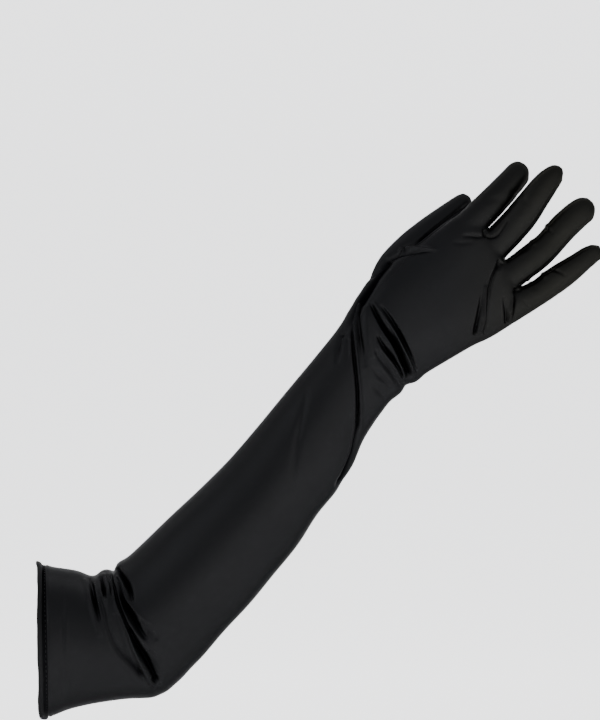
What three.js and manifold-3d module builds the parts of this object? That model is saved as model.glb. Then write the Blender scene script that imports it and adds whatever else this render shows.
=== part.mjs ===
// A long evening glove in black stretch satin, for the right hand, in the form that it takes when worn.
// The sleeve comes up over the bent elbow and the fingers are spread a little, with the back of the hand to the front.
// Frame, in millimetres: the origin is the centre of the arm opening, +X points from it towards the elbow,
// +Z is up, and +Y points from the back of the hand to the palm side.
// The pieces are the ones that a glove maker cuts: the main piece with sleeve, hand and fingers,
// the set-in thumb, a fourchette strip between each two fingers, and the turned hem.
// The main piece is parted at the elbow, the wrist and the fingers' roots, so that each part is a simple hollow form.
import * as THREE from "three";
import { mergeVertices } from "three/addons/utils/BufferGeometryUtils.js";
import Module from "manifold-3d";

const wasm = await Module();
wasm.setup();

// Cloth and seams
const WALL = 1.2; // stretch satin with its seam allowances
const SEAM_GAP = 0.3; // clear line along a seam between two pieces
const FOURCHETTE_WIDTH = 8;
const FOURCHETTE_TIP_WIDTH = 2.4; // the strip narrows to this at the fingertips
const FOURCHETTE_OVERREACH = 4; // how far a strip's cutter stands out past the finger
const FOURCHETTE_STATIONS = 4;
const FINGER_CLEARANCE = 0.4; // how far the form that parts a finger from the palm stands out past it

// Turned hem at the arm opening
const HEM_WIDTH = 5.5;
const HEM_STANDS_OUT = 0.5; // the hem's outer face above the sleeve
const HEM_EDGE = 0.9; // radius-like softening of the hem's edges
const HEM_FLARE = 0.5; // how much further the free edge stands out
const HEM_INSET = 1.3; // the hem's inner face below the sleeve's outer one

// Points around a section
const SLEEVE_SIDES = 32;
const LINING_SIDES = 16; // the inner face is smoother, and takes fewer
const DIGIT_SIDES = 14;
const DIGIT_LINING_SIDES = 8;
const SMALLEST_RADIUS = 0.6;
const FLAT_ENOUGH = 0.1; // triangles that differ from their neighbours by less than this are joined

// Sections of the sleeve and the palm, from the hem to the knuckles, in millimetres.
// in: the edge on the side of the elbow's crook and the thumb. out: the edge on the side of the elbow's point
// and the little finger. depth: half the thickness from front to back. mid: the section's middle in Y.
// lean: how far the section's front is turned towards the hand, because the arm opening faces a little backwards.
// square: 2 is an ellipse, and more is squarer. steps: the rings up to the next row.
const SLEEVE = [
  { inX: 0, inZ: 51, outX: 2, outZ: -51, depth: 45, mid: 0, lean: 6.2, square: 2, steps: 1 },
  { inX: 8, inZ: 48, outX: 10, outZ: -49, depth: 44, mid: 0, lean: 5.4, square: 2, steps: 1 },
  { inX: 17.5, inZ: 46.5, outX: 20, outZ: -45, depth: 43, mid: 0, lean: 4.2, square: 2, steps: 1 },
  { inX: 26.5, inZ: 45, outX: 34.5, outZ: -41.5, depth: 42, mid: 0, lean: 2.6, square: 2, steps: 2 },
  { inX: 34.5, inZ: 41.5, outX: 48, outZ: -39.5, depth: 41.5, mid: 0, lean: 1.2, square: 2, steps: 2 },
  { inX: 39.5, inZ: 42.5, outX: 57.5, outZ: -38.5, depth: 41, mid: 0, lean: 0.4, square: 2.1, steps: 1 },
  { inX: 42.5, inZ: 45.5, outX: 66, outZ: -38, depth: 41, mid: 0, lean: 0, square: 2.1, steps: 1 },
  { inX: 45.5, inZ: 46, outX: 72.5, outZ: -37.5, depth: 40.5, mid: 0, lean: 0, square: 2.1, steps: 1 },
  { inX: 47.5, inZ: 45.5, outX: 77.5, outZ: -36.5, depth: 40.5, mid: 0, lean: 0, square: 2.1, steps: 1 },
  { inX: 49, inZ: 44.5, outX: 81.5, outZ: -34.5, depth: 40, mid: 0, lean: 0, square: 2.1, steps: 1 },
  { inX: 50.5, inZ: 44, outX: 85.5, outZ: -32.5, depth: 40, mid: 0, lean: 0, square: 2.1, steps: 1 },
  { inX: 51.5, inZ: 45.5, outX: 90, outZ: -28.5, depth: 39.5, mid: 0, lean: 0, square: 2.1, steps: 1 },
  { inX: 52.5, inZ: 49, outX: 95.5, outZ: -23.5, depth: 39.5, mid: 0, lean: 0, square: 2.1, steps: 1 },
  { inX: 54.5, inZ: 51.5, outX: 102, outZ: -16.5, depth: 39, mid: 0, lean: 0, square: 2, steps: 1 },
  { inX: 60, inZ: 54.5, outX: 110, outZ: -8.5, depth: 38.5, mid: 0, lean: 0, square: 2, steps: 1 },
  { inX: 71.5, inZ: 65, outX: 124, outZ: 8, depth: 37, mid: 0, lean: 0, square: 2, steps: 1 },
  { inX: 88, inZ: 81, outX: 140, outZ: 25.5, depth: 35.5, mid: 0, lean: 0, square: 2, steps: 1 },
  { inX: 108, inZ: 99.5, outX: 156, outZ: 45.5, depth: 33.5, mid: 0, lean: 0, square: 2, steps: 2 },
  { inX: 128, inZ: 119.5, outX: 171.5, outZ: 64.5, depth: 31, mid: 0, lean: 0, square: 2, steps: 2 },
  { inX: 146.5, inZ: 141, outX: 184.5, outZ: 85, depth: 28.5, mid: 0, lean: 0, square: 2, steps: 2 },
  { inX: 162.5, inZ: 160.5, outX: 196.5, outZ: 100.5, depth: 26, mid: 0, lean: 0, square: 2.1, steps: 2 },
  { inX: 177.5, inZ: 178.5, outX: 207.5, outZ: 117.5, depth: 24, mid: 0, lean: 0, square: 2.1, steps: 2 },
  { inX: 189.5, inZ: 193, outX: 214.5, outZ: 133.5, depth: 22, mid: 0, lean: 0, square: 2.1, steps: 2 },
  { inX: 198, inZ: 203.5, outX: 222, outZ: 145, depth: 21, mid: 0, lean: 0, square: 2.2, steps: 1 },
  { inX: 203.5, inZ: 211.5, outX: 228.5, outZ: 154, depth: 20.5, mid: 0, lean: 0, square: 2.2, steps: 1 },
  { inX: 206.5, inZ: 217.5, outX: 234, outZ: 160.5, depth: 20, mid: 0, lean: 0, square: 2.2, steps: 1 },
  { inX: 209.5, inZ: 222.5, outX: 241.5, outZ: 165.5, depth: 19.5, mid: 0, lean: 0, square: 2.2, steps: 1 },
  { inX: 212, inZ: 227, outX: 244.5, outZ: 170.5, depth: 19, mid: 0, lean: 0, square: 2.2, steps: 1 },
  { inX: 215.5, inZ: 232, outX: 251.5, outZ: 172.5, depth: 19, mid: 0.5, lean: 0, square: 2.2, steps: 1 },
  { inX: 220, inZ: 238.5, outX: 257.5, outZ: 178.5, depth: 19, mid: 1, lean: 0, square: 2.2, steps: 2 },
  { inX: 226.5, inZ: 245.5, outX: 268.5, outZ: 185.5, depth: 18.5, mid: 1.5, lean: 0, square: 2.3, steps: 2 },
  { inX: 236, inZ: 252.5, outX: 279.5, outZ: 191.5, depth: 18, mid: 2, lean: 0, square: 2.3, steps: 2 },
  { inX: 247.5, inZ: 260, outX: 289.5, outZ: 197, depth: 17, mid: 2, lean: 0, square: 2.4, steps: 2 },
  { inX: 259.5, inZ: 268.5, outX: 299.5, outZ: 201.5, depth: 16, mid: 1.5, lean: 0, square: 2.4, steps: 1 },
  { inX: 270.5, inZ: 277, outX: 308, outZ: 206.5, depth: 14.5, mid: 1, lean: 0, square: 2.4, steps: 1 },
  { inX: 279.5, inZ: 282, outX: 314, outZ: 211.5, depth: 13, mid: 0.5, lean: 0, square: 2.4, steps: 1 },
  { inX: 287, inZ: 281.5, outX: 318, outZ: 219, depth: 11.5, mid: 0.2, lean: 0, square: 2.4, steps: 1 },
  { inX: 292, inZ: 280.5, outX: 321, outZ: 225, depth: 9, mid: 0, lean: 0, square: 2.3, steps: 1 },
  { inX: 295, inZ: 279, outX: 322.2, outZ: 228.4, depth: 5.5, mid: 0, lean: 0, square: 2, steps: 1 },
];

// Sections of each digit, from its root inside the palm to the last ring before its closed tip.
// half: half the width seen from the front. depth: half the thickness from front to back.
const FINGERS = {
  index: [
    { x: 278, y: 0, z: 266.5, half: 9.5, depth: 9.5 },
    { x: 290.1, y: 1, z: 279.1, half: 9.4, depth: 9 },
    { x: 299.3, y: 3, z: 288, half: 9, depth: 8.6 },
    { x: 307.7, y: 6, z: 297, half: 8.7, depth: 8.3 },
    { x: 317.1, y: 10, z: 307.2, half: 8.4, depth: 7.6 },
    { x: 322.5, y: 12.5, z: 312.8, half: 7, depth: 6 },
    { x: 325, y: 14, z: 315.6, half: 4, depth: 3.5 },
  ],
  middle: [
    { x: 293, y: 0, z: 250.5, half: 10, depth: 10 },
    { x: 305.3, y: 0.5, z: 263.6, half: 9.8, depth: 9.2 },
    { x: 314.5, y: 0, z: 273.3, half: 9.4, depth: 8.8 },
    { x: 323.3, y: -1, z: 283.5, half: 9.2, depth: 8.5 },
    { x: 331.4, y: -1.5, z: 294.5, half: 9, depth: 8 },
    { x: 338.9, y: -1, z: 304.4, half: 7.8, depth: 6.4 },
    { x: 345.6, y: 0, z: 310.4, half: 5.6, depth: 4.4 },
    { x: 348, y: 0.5, z: 312.8, half: 2.6, depth: 2.4 },
  ],
  ring: [
    { x: 301.5, y: 0, z: 233, half: 9.5, depth: 9.5 },
    { x: 313.6, y: 0.5, z: 242, half: 9.4, depth: 9 },
    { x: 320.6, y: 1, z: 246.6, half: 9.2, depth: 8.6 },
    { x: 331.7, y: 2, z: 255.6, half: 9, depth: 8.2 },
    { x: 340.9, y: 3, z: 263.4, half: 8.7, depth: 8 },
    { x: 351, y: 4, z: 274.6, half: 9, depth: 7.8 },
    { x: 360.7, y: 5, z: 283.7, half: 8.4, depth: 6.8 },
    { x: 366.9, y: 6, z: 288.6, half: 6.4, depth: 4.8 },
    { x: 369.6, y: 6.5, z: 290.6, half: 3.6, depth: 2.6 },
  ],
  little: [
    { x: 307, y: 0, z: 216.5, half: 8.2, depth: 8 },
    { x: 323.6, y: 1, z: 226.3, half: 8.3, depth: 7.8 },
    { x: 334.2, y: 2, z: 232.1, half: 7.6, depth: 7.4 },
    { x: 342.4, y: 3, z: 238.5, half: 7.9, depth: 7 },
    { x: 351.6, y: 4, z: 244.9, half: 7.7, depth: 6.6 },
    { x: 360.6, y: 5, z: 250.8, half: 7.1, depth: 5.8 },
    { x: 369.3, y: 6, z: 256.4, half: 5.4, depth: 3.8 },
    { x: 374.8, y: 6.5, z: 259.6, half: 3, depth: 2 },
  ],
};

// Where the main piece is parted, each along the line of one of the sleeve's sections.
const PARTINGS = {
  elbow: { inX: 60, inZ: 54.5, outX: 110, outZ: -8.5 },
  wrist: { inX: 209.5, inZ: 222.5, outX: 241.5, outZ: 165.5 },
};

// Where each finger is parted from the palm, just past the gap beside it, as a share of its table.
const FINGER_ROOTS = { index: 0.2, middle: 0.18, ring: 0.27, little: 0.24 };

const THUMB = [
  { x: 232.1, y: 3, z: 236.1, half: 11, depth: 9 },
  { x: 239.3, y: 7, z: 247.8, half: 11.2, depth: 10 },
  { x: 250.3, y: 14, z: 260.1, half: 10.4, depth: 10 },
  { x: 261, y: 20.5, z: 270.9, half: 9.6, depth: 9.6 },
  { x: 271.9, y: 25.5, z: 280.8, half: 9.1, depth: 9 },
  { x: 280.6, y: 28.5, z: 289, half: 7.8, depth: 7.4 },
  { x: 285.8, y: 30, z: 294, half: 6, depth: 5.4 },
  { x: 288.4, y: 30.8, z: 297, half: 3.4, depth: 3 },
];

// The strips between the fingers, as shares of each finger's table, from its root in the palm to its tip.
const FOURCHETTES = [
  { name: "fourchette_index_middle", upper: "index", lower: "middle", upperFrom: 0.12, lowerFrom: 0.08, to: 0.9 },
  { name: "fourchette_middle_ring", upper: "middle", lower: "ring", upperFrom: 0.03, lowerFrom: 0.08, to: 0.9 },
  { name: "fourchette_ring_little", upper: "ring", lower: "little", upperFrom: 0.06, lowerFrom: 0.08, to: 0.9 },
];

// Folds of the cloth, each through three points of its line as seen from the front, in millimetres.
// width: half the width of the groove. drop: how far its floor lies below the cloth. rise: the lip beside it.
// front and back: the share of the groove that shows on the hand's back and on the palm side.
const FOLDS = [
  { from: [35.5, 39.5], via: [37.5, 26.5], to: [40.5, 7.5], width: 2, drop: 1.6, rise: 0.5, front: 1, back: 0.8 },
  { from: [42, 41.5], via: [44, 33], to: [46, 22], width: 2, drop: 1.6, rise: 0.5, front: 1, back: 0.6 },
  { from: [44, 26.5], via: [52.5, -8.5], to: [76, -33.5], width: 3.4, drop: 1.4, rise: 0.6, front: 1, back: 0.4 },
  { from: [48, 41], via: [62, 7.5], to: [80, -32.5], width: 2.4, drop: 3.2, rise: 1.2, front: 1, back: 1 },
  { from: [63.5, 2.5], via: [71.5, -9.5], to: [85.5, -16.5], width: 3, drop: 1.8, rise: 0.6, front: 1, back: 0.3 },
  { from: [51.5, 33], via: [61.5, 17], to: [82.5, -1.5], width: 2.8, drop: 3, rise: 1, front: 1, back: 0.9 },
  { from: [50.5, 44], via: [55.5, 41.5], to: [62.5, 31.5], width: 2.2, drop: 2, rise: 0.5, front: 1, back: 0.5 },
  { from: [228.5, 222.5], via: [238.5, 203.5], to: [252.5, 175.5], width: 1.6, drop: 2, rise: 0.9, front: 1, back: 0.7 },
  { from: [221.5, 226.5], via: [232.5, 206.5], to: [248, 173], width: 2.2, drop: 3, rise: 0.9, front: 1, back: 0.8 },
  { from: [225.5, 205], via: [232, 191.5], to: [244, 174.5], width: 1.8, drop: 2, rise: 0.7, front: 1, back: 0.6 },
  { from: [225.5, 191.5], via: [231.5, 182.5], to: [241.5, 167], width: 2, drop: 1.4, rise: 0.5, front: 1, back: 0.8 },
  { from: [209.5, 214.5], via: [213.5, 163], to: [197.5, 100.5], width: 2.4, drop: 3, rise: 1.2, front: 1, back: 0 },
  { from: [216, 213], via: [216.5, 196.5], to: [219.5, 181], width: 2.4, drop: 1.2, rise: 0.4, front: 1, back: 0 },
  { from: [308.5, 250.5], via: [300, 229], to: [291.5, 200.5], width: 2.6, drop: 1.6, rise: 0.5, front: 1, back: 0 },
  { from: [318.5, 231.5], via: [316, 220], to: [313.5, 208], width: 2.6, drop: 1.6, rise: 0.5, front: 1, back: 0 },
  { from: [262, 259.5], via: [244.5, 258.5], to: [232.5, 251], width: 2.4, drop: 1.6, rise: 0.7, front: 1, back: 0 },
  { from: [240, 236], via: [262, 232], to: [282, 214], width: 4, drop: 1.8, rise: 0.6, front: 0, back: 1 },
  { from: [272, 264], via: [284, 248], to: [302, 222], width: 3, drop: 1.8, rise: 0.6, front: 0, back: 1 },
];
const FOLD_SAMPLES = 24;
const FOLD_FADE = 0.18; // share of a fold's length over which each end dies out
const LIP_PLACE = 2; // where the lip stands, in groove widths from the groove's middle
const LIP_WIDTH = 0.9; // in groove widths

// Straight pieces that stand in for a fold's curved line, worked out once.
const foldLines = FOLDS.map((fold) => {
  const through = [fold.from, fold.via, fold.to].map(([x, z]) => new THREE.Vector2(x, z));
  return { ...fold, line: new THREE.SplineCurve(through).getPoints(FOLD_SAMPLES) };
});

// How far the cloth moves out (or, below zero, in) at a point, given how much it faces the front.
function foldHeight(x, z, facing) {
  let height = 0;
  for (const fold of foldLines) {
    const share = THREE.MathUtils.lerp(fold.back, fold.front, THREE.MathUtils.smoothstep(facing, -0.35, 0.35));
    if (share === 0) continue;
    let nearest = Infinity;
    let place = 0;
    fold.line.forEach((point, i) => {
      const distance = Math.hypot(point.x - x, point.y - z);
      if (distance < nearest) {
        nearest = distance;
        place = i / FOLD_SAMPLES;
      }
    });
    const fade =
      THREE.MathUtils.smoothstep(place, -0.02, FOLD_FADE) * THREE.MathUtils.smoothstep(1 - place, -0.02, FOLD_FADE);
    const across = nearest / fold.width;
    const groove = -fold.drop * Math.exp(-across * across);
    const lip = fold.rise * Math.exp(-(((across - LIP_PLACE) / LIP_WIDTH) ** 2));
    height += share * fade * (groove + lip);
  }
  return height;
}

// A table's numbers at a place between two rows, on a smooth curve through the rows around them.
function between(rows, i, share) {
  const row = (k) => rows[THREE.MathUtils.clamp(k, 0, rows.length - 1)];
  const [a, b, c, d] = [row(i - 1), row(i), row(i + 1), row(i + 2)];
  const made = {};
  for (const key of Object.keys(b)) {
    const slopeB = (c[key] - a[key]) / 2;
    const slopeC = (d[key] - b[key]) / 2;
    const s2 = share * share;
    const s3 = s2 * share;
    made[key] =
      (2 * s3 - 3 * s2 + 1) * b[key] + (s3 - 2 * s2 + share) * slopeB + (3 * s2 - 2 * s3) * c[key] + (s3 - s2) * slopeC;
  }
  return made;
}

// The sleeve's table with its rows filled in: steps rings from each row to the next.
function sleeveSections() {
  const sections = [];
  SLEEVE.forEach((row, i) => {
    for (let k = 0; k < row.steps; k++) sections.push(between(SLEEVE, i, k / row.steps));
  });
  return sections;
}

// One ring of the sleeve, moved inwards by inset along the section's own outward direction.
function sleeveRing(section, inset, sides) {
  const inner = new THREE.Vector3(section.inX, section.mid, section.inZ);
  const outer = new THREE.Vector3(section.outX, section.mid, section.outZ);
  const centre = inner.clone().lerp(outer, 0.5);
  const across = outer.clone().sub(inner).normalize();
  const half = inner.distanceTo(outer) / 2;
  const deep = new THREE.Vector3(0, 1, 0);
  const power = 2 / section.square;
  const ring = [];
  for (let i = 0; i < sides; i++) {
    const angle = (i / sides) * 2 * Math.PI;
    const c = Math.cos(angle);
    const s = Math.sin(angle);
    const a = Math.sign(c) * Math.abs(c) ** power;
    const b = Math.sign(s) * Math.abs(s) ** power;
    const normal = across
      .clone()
      .multiplyScalar(c / half)
      .addScaledVector(deep, s / section.depth)
      .normalize();
    const point = centre
      .clone()
      .addScaledVector(across, a * half)
      .addScaledVector(deep, b * section.depth);
    point.x -= section.lean * b;
    ring.push(point.addScaledVector(normal, foldHeight(point.x, point.z, -normal.y) - inset));
  }
  return { ring, centre };
}

// A digit's section at a share of its table: centre, unit vectors along, across and deep, and the two half sizes.
function digitFrame(rows, share) {
  const path = new THREE.CatmullRomCurve3(rows.map((row) => new THREE.Vector3(row.x, row.y, row.z)));
  const place = share * (rows.length - 1);
  const i = Math.min(Math.floor(place), rows.length - 2);
  const { half, depth } = between(rows, i, place - i);
  const along = path.getTangent(share);
  const across = new THREE.Vector3(0, 1, 0).cross(along).normalize();
  return { centre: path.getPoint(share), along, across, deep: along.clone().cross(across), half, depth };
}

function digitFrames(rows) {
  return rows.map((row, i) => digitFrame(rows, i / (rows.length - 1)));
}

// Rings of a digit, narrowed by inset all round. The first and last rings move in by it too.
function digitRings(frames, inset, sides) {
  return frames.map((frame, k) => {
    const isLast = k === frames.length - 1;
    const centre = frame.centre.clone().addScaledVector(frame.along, isLast ? -inset : 0);
    const half = Math.max(frame.half - inset, SMALLEST_RADIUS);
    const depth = Math.max(frame.depth - inset, SMALLEST_RADIUS);
    const ring = [];
    for (let i = 0; i < sides; i++) {
      const angle = (i / sides) * 2 * Math.PI;
      ring.push(
        centre
          .clone()
          .addScaledVector(frame.across, Math.cos(angle) * half)
          .addScaledVector(frame.deep, Math.sin(angle) * depth),
      );
    }
    return { ring, centre };
  });
}

// A closed solid through rings of equal count, with its faces pointing out.
function loft(rings) {
  const sides = rings[0].ring.length;
  const positions = [];
  const indices = [];
  rings.forEach(({ ring }) => ring.forEach((point) => positions.push(...point.toArray())));
  for (let k = 0; k < rings.length - 1; k++) {
    for (let i = 0; i < sides; i++) {
      const next = (i + 1) % sides;
      const [a, b, c, d] = [k * sides + i, k * sides + next, (k + 1) * sides + next, (k + 1) * sides + i];
      indices.push(a, b, c, a, c, d);
    }
  }
  for (const [k, isStart] of [
    [0, true],
    [rings.length - 1, false],
  ]) {
    const middle = positions.length / 3;
    positions.push(...rings[k].centre.toArray());
    for (let i = 0; i < sides; i++) {
      const edge = [k * sides + i, k * sides + ((i + 1) % sides)];
      indices.push(middle, ...(isStart ? edge.reverse() : edge));
    }
  }
  return new THREE.BufferGeometry()
    .setAttribute("position", new THREE.Float32BufferAttribute(positions, 3))
    .setIndex(indices);
}

function toSolid(geometry) {
  const bare = new THREE.BufferGeometry().setAttribute("position", geometry.getAttribute("position"));
  const merged = mergeVertices(bare.setIndex(geometry.index), 1e-4);
  return new wasm.Manifold(
    new wasm.Mesh({
      numProp: 3,
      vertProperties: merged.attributes.position.array,
      triVerts: new Uint32Array(merged.index.array),
    }),
  );
}

// The largest body of a solid, without crumbs that a cut may leave.
function mainBody(solid) {
  return solid.decompose().reduce((best, body) => (body.volume() > best.volume() ? body : best));
}

function toMesh(solid, name, material) {
  const { vertProperties, triVerts, numProp } = mainBody(solid).simplify(FLAT_ENOUGH).getMesh();
  const positions = [];
  for (let i = 0; i < vertProperties.length; i += numProp) positions.push(...vertProperties.subarray(i, i + 3));
  const geometry = new THREE.BufferGeometry()
    .setAttribute("position", new THREE.Float32BufferAttribute(positions, 3))
    .setIndex(Array.from(triVerts));
  geometry.computeVertexNormals();
  const mesh = new THREE.Mesh(geometry, material);
  mesh.name = name;
  return mesh;
}

// The direction along the arm at a section, square to its line.
function alongArm({ inX, inZ, outX, outZ }) {
  return new THREE.Vector3(inZ - outZ, 0, outX - inX).normalize();
}

// A solid in two at a parting, with the clear line of a seam between them: the arm's side first.
function partAt(parting, solid) {
  const along = alongArm(parting);
  const place = along.dot(new THREE.Vector3(parting.inX, 0, parting.inZ));
  return [
    solid.trimByPlane(along.clone().negate().toArray(), SEAM_GAP / 2 - place),
    solid.trimByPlane(along.toArray(), SEAM_GAP / 2 + place),
  ];
}

// The section at a distance from the arm opening, on the straight run through the first two rows.
function mouthSection(x) {
  const [first, second] = SLEEVE;
  const section = {};
  for (const key of Object.keys(first)) {
    section[key] = THREE.MathUtils.lerp(first[key], second[key], x / second.inX);
  }
  return section;
}

// The sleeve and palm as a full solid, starting a given distance from the arm opening.
function sleeveSolid(inset, sides, startX) {
  const sections = [mouthSection(startX), ...sleeveSections().filter((section) => section.inX > startX)];
  const rings = sections.map((section) => sleeveRing(section, inset, sides));
  const back = alongArm(sections.at(-1)).multiplyScalar(-inset);
  for (const point of [rings.at(-1).centre, ...rings.at(-1).ring]) point.add(back);
  return toSolid(loft(rings));
}

function digitSolid(rows, inset, sides) {
  return toSolid(loft(digitRings(digitFrames(rows), inset, sides)));
}

// Everything but the thumb, as one full solid.
function handSolid(inset, sides, digitSides, startX) {
  const digits = Object.values(FINGERS).map((rows) => digitSolid(rows, inset, digitSides));
  return digits.reduce((whole, digit) => whole.add(digit), sleeveSolid(inset, sides, startX));
}

// A block along one side of a finger, from its middle line outwards: what a fourchette strip takes up there.
// grow widens it on every side, for the clear line along the seam.
function fourchetteSide(rows, side, from, to, grow) {
  const rings = [];
  for (let k = 0; k <= FOURCHETTE_STATIONS; k++) {
    const share = k / FOURCHETTE_STATIONS;
    const { centre, along, across, deep, half } = digitFrame(rows, THREE.MathUtils.lerp(from, to, share));
    const atEnd = k === FOURCHETTE_STATIONS ? grow : 0;
    centre.addScaledVector(along, k === 0 ? -grow : atEnd);
    const tall = THREE.MathUtils.lerp(FOURCHETTE_WIDTH, FOURCHETTE_TIP_WIDTH, share ** 3) / 2 + grow;
    const far = half + FOURCHETTE_OVERREACH + grow;
    const corners = [
      [-grow, -tall],
      [far, -tall],
      [far, tall],
      [-grow, tall],
    ];
    const ring = corners.map(([out, up]) =>
      centre
        .clone()
        .addScaledVector(across, out * side)
        .addScaledVector(deep, up * side),
    );
    rings.push({ ring, centre: ring[0].clone().lerp(ring[2], 0.5) });
  }
  return toSolid(loft(rings));
}

function fourchetteBlock({ upper, lower, upperFrom, lowerFrom, to }, grow) {
  const upperSide = fourchetteSide(FINGERS[upper], 1, upperFrom, to, grow);
  return upperSide.add(fourchetteSide(FINGERS[lower], -1, lowerFrom, to, grow));
}

// A finger's own form from a share of its table to past its tip, a little wider all round.
// shift moves its start along the finger, for the clear line along the seam.
function fingerBlock(rows, from, shift) {
  const shares = rows.map((_, i) => i / (rows.length - 1)).filter((share) => share > from);
  const frames = [from, ...shares].map((share) => digitFrame(rows, share));
  frames[0].centre.addScaledVector(frames[0].along, shift);
  return toSolid(loft(digitRings(frames, -FINGER_CLEARANCE, DIGIT_SIDES)));
}

// The hem: the sleeve's first rows again, as a band with softened edges that stands out a little.
function hemSolid() {
  const profile = [
    { x: 0, out: HEM_STANDS_OUT + HEM_FLARE - HEM_EDGE },
    { x: HEM_EDGE, out: HEM_STANDS_OUT + HEM_FLARE },
    { x: HEM_WIDTH - HEM_EDGE, out: HEM_STANDS_OUT },
    { x: HEM_WIDTH, out: 0 },
  ];
  const outside = toSolid(loft(profile.map(({ x, out }) => sleeveRing(mouthSection(x), -out, SLEEVE_SIDES))));
  const hollow = [-HEM_WIDTH, 2 * HEM_WIDTH].map((x) => sleeveRing(mouthSection(x), HEM_INSET, SLEEVE_SIDES));
  return outside.subtract(toSolid(loft(hollow)));
}

const satin = new THREE.MeshStandardMaterial({ color: 0x1c1c1e, roughness: 0.42, metalness: 0 });
const hemSatin = new THREE.MeshStandardMaterial({ color: 0x1a1a1c, roughness: 0.5, metalness: 0 });

const bodyStart = HEM_WIDTH + SEAM_GAP;
const handOuter = handSolid(0, SLEEVE_SIDES, DIGIT_SIDES, bodyStart);
const handHollow = handSolid(WALL, LINING_SIDES, DIGIT_LINING_SIDES, -2 * HEM_WIDTH);
const thumbOuter = digitSolid(THUMB, 0, DIGIT_SIDES);
const thumbHollow = digitSolid(THUMB, WALL, DIGIT_LINING_SIDES);
const handShell = handOuter.subtract(handHollow).subtract(thumbHollow);

let mainPiece = handShell;
const glove = new THREE.Group();
for (const strip of FOURCHETTES) {
  mainPiece = mainPiece.subtract(fourchetteBlock(strip, SEAM_GAP));
  glove.add(toMesh(handShell.intersect(fourchetteBlock(strip, 0)), strip.name, satin));
}
for (const [name, from] of Object.entries(FINGER_ROOTS)) {
  const rows = FINGERS[name];
  glove.add(toMesh(mainPiece.intersect(fingerBlock(rows, from, SEAM_GAP)), `${name}_finger`, satin));
  mainPiece = mainPiece.subtract(fingerBlock(rows, from, 0));
}
const [upperSleeve, beyondElbow] = partAt(PARTINGS.elbow, mainPiece);
const [forearmSleeve, hand] = partAt(PARTINGS.wrist, beyondElbow);
glove.add(toMesh(upperSleeve, "upper_sleeve", satin));
glove.add(toMesh(forearmSleeve, "forearm_sleeve", satin));
glove.add(toMesh(hand, "hand", satin));
const thumbShell = thumbOuter.subtract(thumbHollow);
const handWithGap = handSolid(-SEAM_GAP, SLEEVE_SIDES, DIGIT_SIDES, bodyStart);
glove.add(toMesh(thumbShell.subtract(handWithGap), "thumb", satin));
glove.add(toMesh(hemSolid(), "hem_band", hemSatin));

export default glove;
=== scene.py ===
"""A long evening glove in black stretch satin for the right hand, dressed over its CAD frame.

The skin is lofted from the sections of the sleeve and of each digit, remeshed into one body, cut open at the
hem, creased by the folds that the bends at elbow and wrist give to tight cloth, and lined. The turned hem
and its stitches are pieces of their own. Tables are in millimetres; Blender's meshes are in metres.
"""

import logging
import math
from dataclasses import dataclass, field
from enum import Enum

import bmesh
import bpy
import numpy as np
from mathutils import Matrix, Vector, noise
from mathutils.bvhtree import BVHTree


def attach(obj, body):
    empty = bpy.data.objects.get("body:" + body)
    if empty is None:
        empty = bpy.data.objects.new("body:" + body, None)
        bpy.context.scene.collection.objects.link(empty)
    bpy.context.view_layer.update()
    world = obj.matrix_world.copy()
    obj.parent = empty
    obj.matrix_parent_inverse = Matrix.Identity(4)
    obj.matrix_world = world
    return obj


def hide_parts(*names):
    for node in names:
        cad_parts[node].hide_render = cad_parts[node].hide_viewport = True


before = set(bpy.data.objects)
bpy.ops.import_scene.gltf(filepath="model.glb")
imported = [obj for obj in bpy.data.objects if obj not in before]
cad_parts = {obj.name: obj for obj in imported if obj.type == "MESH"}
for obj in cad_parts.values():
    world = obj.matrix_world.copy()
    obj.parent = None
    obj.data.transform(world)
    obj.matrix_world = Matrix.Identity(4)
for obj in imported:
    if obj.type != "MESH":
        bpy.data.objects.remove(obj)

LOG = logging.getLogger("glove")
BODY = "root"
MM = 0.001

# the view of the photograph, and the camera's sensor
VIEW_CENTRE = (174.7, 0.0, 186.3)
CAMERA_DISTANCE = 1300.0
FRAME_HEIGHT = 480.0
SENSOR_HEIGHT = 36.0

# the lofts: points round a section, and sections for each row of a table
SLEEVE_SIDES = 96
SLEEVE_STEPS = 4
DIGIT_SIDES = 40
DIGIT_STEPS = 6

# the lofts are made narrower, so that the fingers stay apart in the voxels, and grown back later
SHRINK = 0.6
REGAIN = 1.35
VOXEL = 1.25
SMOOTH_ROUNDS = 9
EDGE_OF_SKIN = 3.5

# the share of the faces that is kept, and the cloth's thickness
SKIN_SHARE = 0.55
LINING_SHARE = 0.12
CLOTH = 1.1

# seams: depth and width of the dip, the share of a finger where they end, and what counts as far from one
SEAM_DIP = (0.5, 1.1)
SEAM_END = 0.97
SEAM_FAR = 5.0
THUMB_ROOT_BOX = ((215, -15, 225), (275, 32, 285))

# the cloth at the hem: where it is stitched down, then depth and width of the press, and the lip beside it
HEM_GROOVE = 3.7
HEM_PRESS = (1.4, 1.5)
HEM_LIP = (0.2, 0.9)
HEM_LIP_AT = 2.6

# where the colour changes towards the fingertips, in metres along X
TIPS_FROM, TIPS_TO = 0.27, 0.34

# folds: the powers of their profiles, how their ends fade, how near the mesh is made finer, and the depths
# between which painted shade darkens the satin's colour
GROOVE = 2.0
CREST = 1.4
FOLD_STATIONS = (0.0, 0.5, 1.0)
FOLD_FADE = (-0.02, 0.08)
FINE_REACH = 4.5
PAINTED_SHADE_DEPTHS = (0.8, 3.0)

# the slight waves of tight cloth: their turn along the sleeve, their scale, and the heights of two sizes of wave
WAVE_TURN = math.radians(48.0)
WAVE_SCALE = Vector((0.016, 0.045, 0.05))
WAVE_HEIGHTS = (0.16, 0.07)
FINER_WAVES = 2.7


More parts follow.
